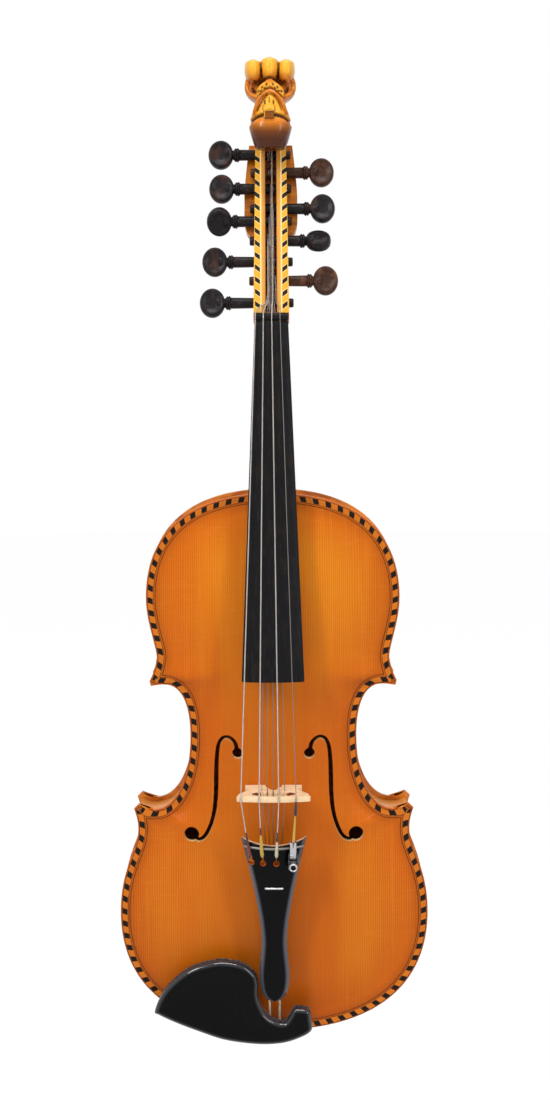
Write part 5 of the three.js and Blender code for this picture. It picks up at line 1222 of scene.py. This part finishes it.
def playing_line(name):
    peg, nut, bridge, tail, lane, radius = PLAYING[name]
    spread, clear = tail * 1.08, GAP + radius
    start = [Vector((tail, tail_drop(tail) + 4.6, HOLE_ALONG + 3.0)),
             Vector((tail, tail_drop(tail) + clear, HOLE_ALONG + 4.0)),
             Vector((spread, tail_drop(spread) - 1 - clear, FRET_ALONG))]
    if name == "string_e":
        start = [Vector((spread, tail_drop(spread) - 6.3, HOLE_ALONG + 12.4))]
    y = bridge_top_at(bridge) - clear + 0.01
    along = PEGS[peg][1] * PEGBOX_LENGTH
    return [TAIL @ p for p in start] + [
        Vector((bridge, y, BRIDGE_HEIGHT - 1.1)), Vector((bridge, y, BRIDGE_HEIGHT + 1.1)),
        Vector((nut, NUT_FACE - clear, 461.5)), Vector((nut, NUT_FACE - clear, NUT_TOP + GAP)),
        PEGBOX @ Vector(((nut + lane) / 2, -1.5, 4.4)), PEGBOX @ Vector((lane, 1.5, 7.3)),
        PEGBOX @ Vector((lane, 2.1, max(along - 7, 8.8)))] + turns_on(peg, lane, radius)


def under_line(name):
    peg, nut, bridge, lane = UNDER[name]
    clear = 0.55
    sill = PLATE_TOP - 14 - clear
    return [TAIL @ Vector((bridge / 2, TAIL_THICKNESS + 1.3, STAPLE_ALONG + 1.1)),
            Vector((bridge, sill, BRIDGE_HEIGHT - 1.1)), Vector((bridge, sill, BRIDGE_HEIGHT + 1.1)),
            Vector((nut, -20.3 - clear, 461.9)), Vector((nut, -20.3 - clear, 463.2)),
            PEGBOX @ Vector(((nut + lane) / 2, 2.55, 4.4)), PEGBOX @ Vector((lane, 4.3, 8.8)),
            PEGBOX @ Vector((lane, 4.3, PEGS[peg][1] * PEGBOX_LENGTH - 7)),
            *turns_on(peg, lane, UNDER_RADIUS)]


for name in PLAYING:
    metal_look = STEEL if name == "string_e" else WOUND_STEEL
    fit(shape(f"line_{name}", rod(playing_line(name), PLAYING[name][5], 10)), metal_look,
        instead_of=(name,), sharp=60)
for name in UNDER:
    fit(shape(f"line_{name}", rod(under_line(name), UNDER_RADIUS, 8)), STEEL,
        instead_of=(name,), sharp=60)


# Silk wound over the ends of the strings
def silk(name, string, look, low, high, thick=1.0):
    line = playing_line(string)
    stop = 3 if string != "string_e" else 1
    before, after = line[stop - 1], line[stop]
    count = 24
    points = []
    for z in np.linspace(low, high, count):
        if z >= before.z:
            share = (z - before.z) / (after.z - before.z)
            points.append(before.lerp(after, share))
        else:
            share = (z - line[1].z) / (before.z - line[1].z)
            points.append(line[1].lerp(before, max(share, 0.0)))
    swell_out = np.interp(np.arange(count), (0, 3, 10, 23), (0.45, 0.75, 0.6, 0.3))
    swollen = PLAYING[string][5] + swell_out * thick + 0.04 * np.sin(np.arange(count) * 2.4)
    fit(shape(name, rod(points, swollen, 12)), look, sharp=60)


silk("silk_g_low", "string_g", RED_SILK, 125.0, 133.5)
silk("silk_g_high", "string_g", MAROON_SILK, 133.6, 141.5, 0.5)
silk("silk_d_low", "string_d", YELLOW_SILK, 125.0, 140.5, 1.1)
silk("silk_d_high", "string_d", RED_SILK, 140.6, 145.5, 0.5)
silk("silk_a_low", "string_a", CREAM_SILK, 125.0, 136.0)
silk("silk_a_high", "string_a", DARK_SILK, 136.1, 142.5, 0.5)
silk("silk_e_low", "string_e", YELLOW_SILK, 136.2, 154, 0.8)
silk("silk_e_high", "string_e", DARK_SILK, 154.1, 163.0, 1.2)


# Bridge: two feet, one lens-shaped window with teeth on its sill, and a crown notched for the strings
def bridge_outlines():
    foot, top_half = FOOT_SPAN / 2, BRIDGE_WIDTH / 2
    right = [(0.0, 0.37), (0.07, 0.32), (0.13, 0.23), (0.19, 0.13), (0.24, 0.03), (0.25, -0.1),
             (0.86, -0.1), (0.86, 0.04), (0.83, 0.1), (0.77, 0.16), (0.74, 0.23), (0.75, 0.32), (0.8, 0.42),
             (0.9, 0.52), (1.0, 0.62), (1.05, 0.7), (1.05, 0.82), (1.1, 0.86)]
    edge = [(x * foot, h * BRIDGE_RISE) for x, h in right]
    for x in np.linspace(top_half, -top_half, 91):
        cut = max(0.45 * math.exp(-(((x - PLAYING[name][2]) / 0.5) ** 2)) for name in PLAYING)
        edge.append((x, BRIDGE_RISE - BRIDGE_DROP * (x / top_half) ** 2 - cut))
    edge += [(-x, h) for x, h in reversed(edge[1:len(right)])]
    lens_half, middle, drop, rise = 13.8, 21, 7, 6.2
    window = []
    for x in np.linspace(-lens_half, lens_half, 93):
        tooth = 5.5 * max(1 - abs(x - place) / 1.7 for place in (-9.3, -5.6, -2.0, 1.6, 5.2, 8.9))
        sill = middle - drop * (1 - (x / lens_half) ** 2) ** 0.5
        window.append((x, max(sill, middle - drop + tooth) if abs(x) < 10.5 else sill))
    window += [(x, middle + rise * (1 - (x / lens_half) ** 2) ** 0.5) for x in np.linspace(13.4, -13.4, 61)]
    return [edge, window]


BRIDGE = Matrix.Translation((0, PLATE_TOP, BRIDGE_HEIGHT)) @ Matrix.Rotation(math.pi / 2, 4, "X")
bridge = shape("bridge_piece", fretwork(bridge_outlines(), 3.4, 0.28), BRIDGE)
paint_faces(bridge, BRIDGE_WOOD, WINDOW_SHADE)
spots, _ = corner_points(bridge, FIDDLE @ BRIDGE)
# The walls at the ends of the window take the dark brown as painted shade.
for face in bridge.data.polygons:
    x, y, h = spots[list(face.loop_indices)].mean(axis=0)
    if 8.2 < abs(x) < 14.2 and 13.5 < h < 28 and abs(y) < 1.4:
        face.material_index = 1
fit(bridge, BRIDGE_WOOD, instead_of=("bridge",), sharp=40)


# Tailpiece, with its string holes, fret and staple
def tail_half(share):
    """Half the tailpiece's width at a share of its length."""
    widths = [(0.0, 0.05), (0.005, 0.14), (0.02, 0.28), (0.04, 0.36), (0.075, 0.43), (0.12, 0.46),
              (0.16, 0.47), (0.2, 0.46), (0.26, 0.43), (0.32, 0.4), (0.36, 0.388), (0.4, 0.39),
              (0.46, 0.415), (0.53, 0.46), (0.62, 0.54), (0.71, 0.63), (0.85, 0.8), (1, 1)]
    return float(np.interp(share, *zip(*widths))) * TAIL_WIDTH / 2


def tailpiece_form():
    bevel_wide, bevel_slope, least = 2.4, 0.62, 0.5
    loops = []
    for share in [*np.linspace(0, 0.06, 9), *np.linspace(0.075, 0.94, 56), 0.96, 0.98, 0.99, 0.996, 1]:
        half = tail_half(share)
        ends = 1.0 if share == 1 else 0.35 if share == 0.996 else 0.8 if share == 0 else 0.0
        inner = 1 - bevel_wide / max(half, 2 * bevel_wide)
        slope = (1 + inner) / 2
        across = np.concatenate(([-1, -slope], np.linspace(-inner, inner, 25), [slope, 1]))
        thick = np.interp(share, (0, 0.3, 0.7, 1), (8.6, 8.0, 5.5, 4.2))
        front, rear = [], []
        for a in across:
            x = half * a
            bevel = bevel_slope * max(bevel_wide - half * (1 - abs(a)), 0) * min(1, half / 8)
            dip = TAIL_LENGTH * 0.032 * (1 - (a * 0.999) ** 2) * np.clip((share - 0.85) / 0.15, 0, 1)
            near = tail_drop(x) + bevel + ends
            far = max(min(TAIL_THICKNESS, tail_drop(x) + thick) - ends, near + least)
            front.append((x, near, share * TAIL_LENGTH - dip))
            rear.append((x * 0.985, far, share * TAIL_LENGTH - dip))
        loops.append(front + rear[::-1])
    points, faces = skin(loops, False)
    around = len(loops[0])
    for row in (0, len(loops) - 1):
        first = row * around
        faces += [(first + i, first + i + 1, first + around - 2 - i, first + around - 1 - i)
                  for i in range(around // 2 - 1)]
    return points, faces


def string_hole(name, tail):
    """A round hole under the tuner, and keyholes for the other strings."""
    radius, slot_half, slot_end = 2.0, 0.45, 4.6
    if name == "string_e":
        x, slot, angles = tail * 1.08, [], full_turn(24)
    else:
        x, angles = tail * 0.965, np.linspace(-1.27, 1.27 + math.pi, 22) + math.pi
        slot = [(x + slot_half, HOLE_ALONG + slot_end), (x - slot_half, HOLE_ALONG + slot_end)]
    outline = [(x + radius * math.cos(a), HOLE_ALONG + radius * math.sin(a)) for a in angles]
    tool = shape("hole", sawn(outline + slot, -20, 20), TAIL)
    # The hole walls are painted warm brown as painted light, in place of the lit top seen through them.
    tool.data.materials.append(TAIL_HOLE_LIGHT)
    return tool


tailpiece = shape("tailpiece_body", tailpiece_form(), TAIL)
# The top end faces take the pale worn finish, which also paints in the highlight on that edge.
paint_faces(tailpiece, TAIL_EBONY, WORN_LIT_EDGE, 28)
carve(tailpiece, TAIL_EBONY, *[string_hole(name, PLAYING[name][3]) for name in PLAYING])
spots, _ = corner_points(tailpiece, FIDDLE @ TAIL)
margin = [tail_half(min(max(z / TAIL_LENGTH, 0), 1)) - abs(x) for x, _, z in spots]
write_sheet(tailpiece, "rim", np.column_stack((margin, margin)))
ease(tailpiece, 0.3, 2, 50)
fit(tailpiece, TAIL_EBONY, instead_of=("tailpiece",), sharp=38)

# The fret is given string steel so that it reads as a thin light line, a painted highlight along its
# rounded ridge.
section = [(2, -0.8), (-0.5, -0.8), (-0.9, -0.4), (-1.0, 0), (-0.9, 0.4), (-0.5, 0.8), (2, 0.8)]
fret = [[(x, tail_drop(x) + y, FRET_ALONG + z) for y, z in section] for x in np.linspace(-18.9, 18.9, 41)]
fit(shape("fret", skin(fret), TAIL), STEEL, instead_of=("tailpiece_fret",), sharp=50)

leg = [(5.4, 10), (5.4, 2), (5.4, -0.2), (4.7, -1.0)]
staple = through([(-x, y, STAPLE_ALONG) for x, y in leg] + [(0, -1.0, STAPLE_ALONG)]
                 + [(x, y, STAPLE_ALONG) for x, y in reversed(leg)], 5)
fit(shape("staple", rod(staple, 0.7, 14), TAIL), FITTING_STEEL,
    instead_of=("understring_staple",))

# Fine tuner: plate and cheeks, knurled screw, and the lever with its fork
TUNER_TOP = tail_drop(TUNER_X) - 5.6
frame_form = together(
    block((TUNER_X - 3.2, TUNER_TOP, HOLE_ALONG - 2.9), (TUNER_X + 3.2, TUNER_TOP + 1.4, HOLE_ALONG + 2.9)),
    *[block((x, TUNER_TOP + 0.2, HOLE_ALONG - 2.7), (x + 0.7, tail_drop(abs(x)) + 0.4, HOLE_ALONG + 7.4))
      for x in (TUNER_X - 3, TUNER_X + 2.3)])
fit(ease(shape("tuner_frame", frame_form, TAIL), 0.22), DARK_STEEL,
    instead_of=("fine_tuner_frame",))


SCREW_SIDES = 96


def tuner_screw_form():
    """Rings of height, radius and knurl, from the thread's end to the hollow in the head."""
    rings = [(2.2, 0.0, 0), (2.2, 1.0, 0), (-0.3, 1.1, 0), (-0.3, 2.3, 0), (-0.45, 2.75, 0.5),
             (-0.8, 2.82, 1), (-2.2, 2.85, 1), (-3.6, 2.82, 1), (-4.0, 2.7, 0.5), (-4.3, 2.4, 0),
             (-4.4, 2.0, 0), (-4.2, 1.7, 0), (-3.4, 1.6, 0), (-3.3, 0.0, 0)]
    loops = []
    for y, radius, knurl in rings:
        loop = []
        for i, a in enumerate(full_turn(SCREW_SIDES)):
            out = radius * (1 - 0.05 * knurl * (0.5 + 0.5 * math.cos(i * math.pi / 2)))
            loop.append((TUNER_X + out * math.cos(a), TUNER_TOP + y, HOLE_ALONG + out * math.sin(a)))
        loops.append(loop)
    return skin(loops, False)


screw = shape("tuner_screw_piece", tuner_screw_form(), TAIL)
# The hollow in the screw's head is painted black, as painted shade.
paint_faces(screw, FITTING_STEEL, POLISHED_EBONY, 2 * SCREW_SIDES)
fit(screw, FITTING_STEEL, "tuner_screw", ("fine_tuner_screw",), 35)
arm, hinge = TUNER_TOP + 1.7, HOLE_ALONG + 6
lever_form = together(
    block((TUNER_X - 2, arm, hinge - 1.4), (TUNER_X + 2, arm + 0.8, hinge + 9.6)),
    block((TUNER_X - 2, arm, hinge - 1.4), (TUNER_X + 2, TUNER_TOP + 3.3, hinge)),
    block((TUNER_X - 2, TUNER_TOP + 2.5, HOLE_ALONG - 1.1), (TUNER_X + 2, TUNER_TOP + 3.3, hinge)),
    block((TUNER_X - 2, TUNER_TOP - 1.4, hinge + 7.2), (TUNER_X - 0.55, arm + 0.8, hinge + 9.6)),
    block((TUNER_X + 0.55, TUNER_TOP - 1.4, hinge + 7.2), (TUNER_X + 2, arm + 0.8, hinge + 9.6)))
fit(ease(shape("tuner_lever_piece", lever_form, TAIL), 0.2), FITTING_STEEL, "tuner_lever",
    ("fine_tuner_lever",))

# Saddle, end button and tail gut
fit(ease(shape("saddle_piece", block((-16, -22, -1.2), (16, -15.6, 6))), 0.8, 3), POLISHED_EBONY,
    instead_of=("saddle",))
button = turned([(18, 0), (18, 3.0), (1.4, 3.6), (-0.3, 3.6), (-0.3, 4.2), (-0.8, 4.6), (-2.0, 4.3),
                 (-2.8, 3.5), (-4.2, 3.3), (-5.5, 3.5), (-6.6, 5.2), (-7.6, 6.4), (-9, 6.6), (-10.6, 6.4),
                 (-12, 5.4), (-12.7, 3.6), (-12.9, 1.2), (-13, 0)], 40, "z")
fit(shape("button", button), POLISHED_EBONY, instead_of=("end_button",), sharp=60)


def gut_line():
    """From the tailpiece over the saddle, round the end button and back."""
    side = [TAIL @ Vector((3.2, 5.58, 7.8)), TAIL @ Vector((3.2, 5.58, -1.8)), Vector((3.2, -23.2, 5.1)),
            Vector((3.2, -23.2, -1.74)), Vector((3.2, -20.47, -3.63))]
    loop = [Vector((4.63 * math.cos(a), 4.63 * math.sin(a), -4.15)) for a in np.linspace(0, math.pi, 25)]
    return side + loop + [Vector((-p.x, p.y, p.z)) for p in reversed(side)]


fit(shape("gut", rod(gut_line(), 0.75, 14)), GUT, instead_of=("tail_gut",), sharp=60)

# Chin rest: a dished cup and a horn, in shares of their widths and of the height, with feet and lugs
UPPER_CUP = [(0, 0.41), (0.098, 0.66), (0.31, 0.89), (0.521, 0.98), (0.68, 1), (0.861, 0.955),
             (0.971, 0.85), (1, 0.735), (1, 0.587)]
HORN = [(0.086, 0.427), (0.246, 0.31), (0.473, 0.268), (0.586, 0.355), (0.68, 0.434), (0.953, 0.414),
        (1, 0.31), (1, 0.16), (0.749, 0.065), (0.408, 0.007)]
LOWER_CUP = [(0.974, 0), (0.68, 0.05), (0.447, 0.144), (0.215, 0.254), (0.041, 0.355)]
CUP_LEFT, CUP_WIDTH, CUP_RIGHT, HORN_REACH = -77.03, 66.7, -10.33, 34
CHIN_BOTTOM, CHIN_HEIGHT, CHIN_FRONT, CHIN_DEPTH = -1.4, 55.5, -42, 9


def chin_outline():
    points = []
    for run, left, width in ((UPPER_CUP, CUP_LEFT, CUP_WIDTH), (HORN, CUP_RIGHT, HORN_REACH),
                             (LOWER_CUP, CUP_LEFT, CUP_WIDTH)):
        points += [(left + width * x, CHIN_BOTTOM + CHIN_HEIGHT * z) for x, z in run]
    return through(points, 6, True)


def from_rim(spots):
    """How far points lie from the chin rest's outline."""
    rim = chin_outline()
    return nearest(spots[:, (0, 2)], np.vstack((rim, rim[:1])))[1]


def barrel_place(i):
    low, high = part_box(f"chinrest_barrel_{i}")
    middle = low.lerp(high, 0.5) * 1000 + HANGER
    return middle.x, middle.z


BARRELS = [barrel_place(i) for i in (1, 2)]


def chin_rest():
    body, normals, faces = even_skin(sawn(chin_outline(), CHIN_FRONT, CHIN_FRONT + CHIN_DEPTH), 0.65, 4)
    edge, rim_radius = from_rim(body), 4.0
    back = ((body[:, 1] - CHIN_FRONT) / CHIN_DEPTH).clip(0, 1)
    wall = (1 - abs(normals[:, 1])).clip(0, 1)[:, None] * (4.2 * back ** 1.3)[:, None]
    body[:, (0, 2)] -= normals[:, (0, 2)] * wall
    front = (1 - back * 1.2).clip(0, 1)
    cup = ((-8 - body[:, 0]) / 10).clip(0, 1)
    roll = rim_radius - np.sqrt((rim_radius ** 2 - (rim_radius - edge).clip(0, rim_radius) ** 2).clip(0))
    hollow = (5 * cup + 1.0 * (1 - cup)) * (1 - np.exp(-((edge - 3.2).clip(0) / (8 * cup + 4)) ** 1.7))
    body[:, 1] = np.maximum(body[:, 1] + front * (roll * 0.85 + hollow), CHIN_FRONT)
    lugs = [block((x - 2.4, -24.0, z - 2.4), (x + 2.4, -21, 8.4)) for x, z in BARRELS]
    feet = [block((a, -36, low), (b, -21.4, 8.2)) for a, b, low in ((-42.3, -16.7, 3.6), (16.7, 22.2, 5.0))]
    return together((body, faces), *lugs, *feet)


rest = shape("chin_rest", chin_rest())
spots, _ = corner_points(rest, FIDDLE)
margin = from_rim(spots)
write_sheet(rest, "rim", np.column_stack((margin, margin)))
fit(rest, CHIN_EBONY, instead_of=("chinrest_plate",), sharp=50)

for i, (x, z) in enumerate(BARRELS, 1):
    barrel = turned([(-24.1, 0), (-24.1, 1.25), (-11.2, 1.3), (-11.0, 2.0), (-10.6, 2.35), (-4, 2.4),
                     (-3.6, 2.15), (-3.0, 2.15), (-2.6, 2.4), (4, 2.4), (10.4, 2.35), (10.8, 2.0),
                     (11.0, 1.3), (23.0, 1.25), (23.0, 0)], 32, "y")
    fit(shape(f"barrel_{i}", barrel, Matrix.Translation((x, 0.0, z))), FITTING_STEEL,
        f"clamp_barrel_{i}", (f"chinrest_barrel_{i}",), 35)

# The spruce pieces inside and the small fittings keep their solids and take a finish
FITTINGS = {"understring_nut": BONE, "chinrest_clamp_foot": FITTING_STEEL}
FITTINGS |= {f"chinrest_cork_{place}": CORK for place in ("left", "right", "back")}
for name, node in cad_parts.items():
    if not node.hide_render:
        node.data.materials.clear()
        node.data.materials.append(FITTINGS.get(name, RAW_SPRUCE))
        if name.startswith("chinrest"):
            ease(node, 0.3)

# Camera, straight in front and a little above
aim, distance = Vector((0.0016, -0.0331, -0.1903)), 1.240
elevation, roll = math.radians(6.8), math.radians(-0.27)
outward = Vector((0, -math.cos(elevation), math.sin(elevation)))
camera = show("camera", bpy.data.cameras.new("camera"))
camera.location = aim + outward * distance
camera.rotation_mode = "QUATERNION"
camera.rotation_quaternion = outward.to_track_quat("Z", "Y") @ Matrix.Rotation(roll, 3, "Z").to_quaternion()
camera.data.sensor_fit = "VERTICAL"
camera.data.sensor_height = 24
camera.data.lens = 42.7
bpy.context.scene.camera = camera
bpy.context.scene.view_settings.view_transform = "Standard"


# Soft studio light, a white surround and a pale floor
def softbox(name, place, size, power):
    lamp = bpy.data.lights.new(name, "AREA")
    lamp.shape = "RECTANGLE"
    lamp.size, lamp.size_y = size
    lamp.energy = power
    holder = show(name, lamp)
    holder.location = place
    holder.rotation_mode = "QUATERNION"
    holder.rotation_quaternion = (Vector(place) - aim).to_track_quat("Z", "Y")


softbox("key", (-1.2, -1.5, 1.2), (0.3, 1.0), 24)
softbox("fill", (1.4, -1.5, 0.5), (0.22, 1.4), 13)
softbox("above", (0.0, -0.7, 1.7), (1.2, 0.3), 22)


def seen(look):
    """1 for the camera, in reflections and through glass, 0 where light falls on matt surfaces."""
    camera_ray, glossy_ray, clear_ray = [look.node("ShaderNodeLightPath", result=f"Is {way} Ray")
                                         for way in ("Camera", "Glossy", "Transmission")]
    return camera_ray.larger(glossy_ray).larger(clear_ray)


white = (1, 1, 1, 1)
studio = Look("studio", bpy.data.worlds, "Background", Color=white)
bpy.context.scene.world = studio.finish(
    Strength=studio.node("ShaderNodeMapRange", None, {"Value": seen(studio), "To Min": 0.34}))


def pale_floor():
    look = Look("pale_floor", Base_Color=(0.86, 0.86, 0.86, 1), Roughness=0.9)
    lit = Value(look, look.surface.outputs[0])
    glow = look.node("ShaderNodeEmission", None, {"Color": white, "Strength": 1.07})
    blend = look.node("ShaderNodeMixShader", None, {0: seen(look) * 0.88, 1: lit, 2: glow})
    look.tree.links.new(blend.socket, look.tree.nodes["Material Output"].inputs["Surface"])
    return look.holder


floor_level, floor_radius, floor_sides = -0.62, 4, 96
ring = [(floor_radius * math.cos(a), floor_radius * math.sin(a), floor_level)
        for a in full_turn(floor_sides)]
floor_mesh = bpy.data.meshes.new("floor")
floor_mesh.from_pydata(ring, [], [tuple(range(floor_sides))])
floor_mesh.materials.append(pale_floor())
floor = show("floor", floor_mesh)
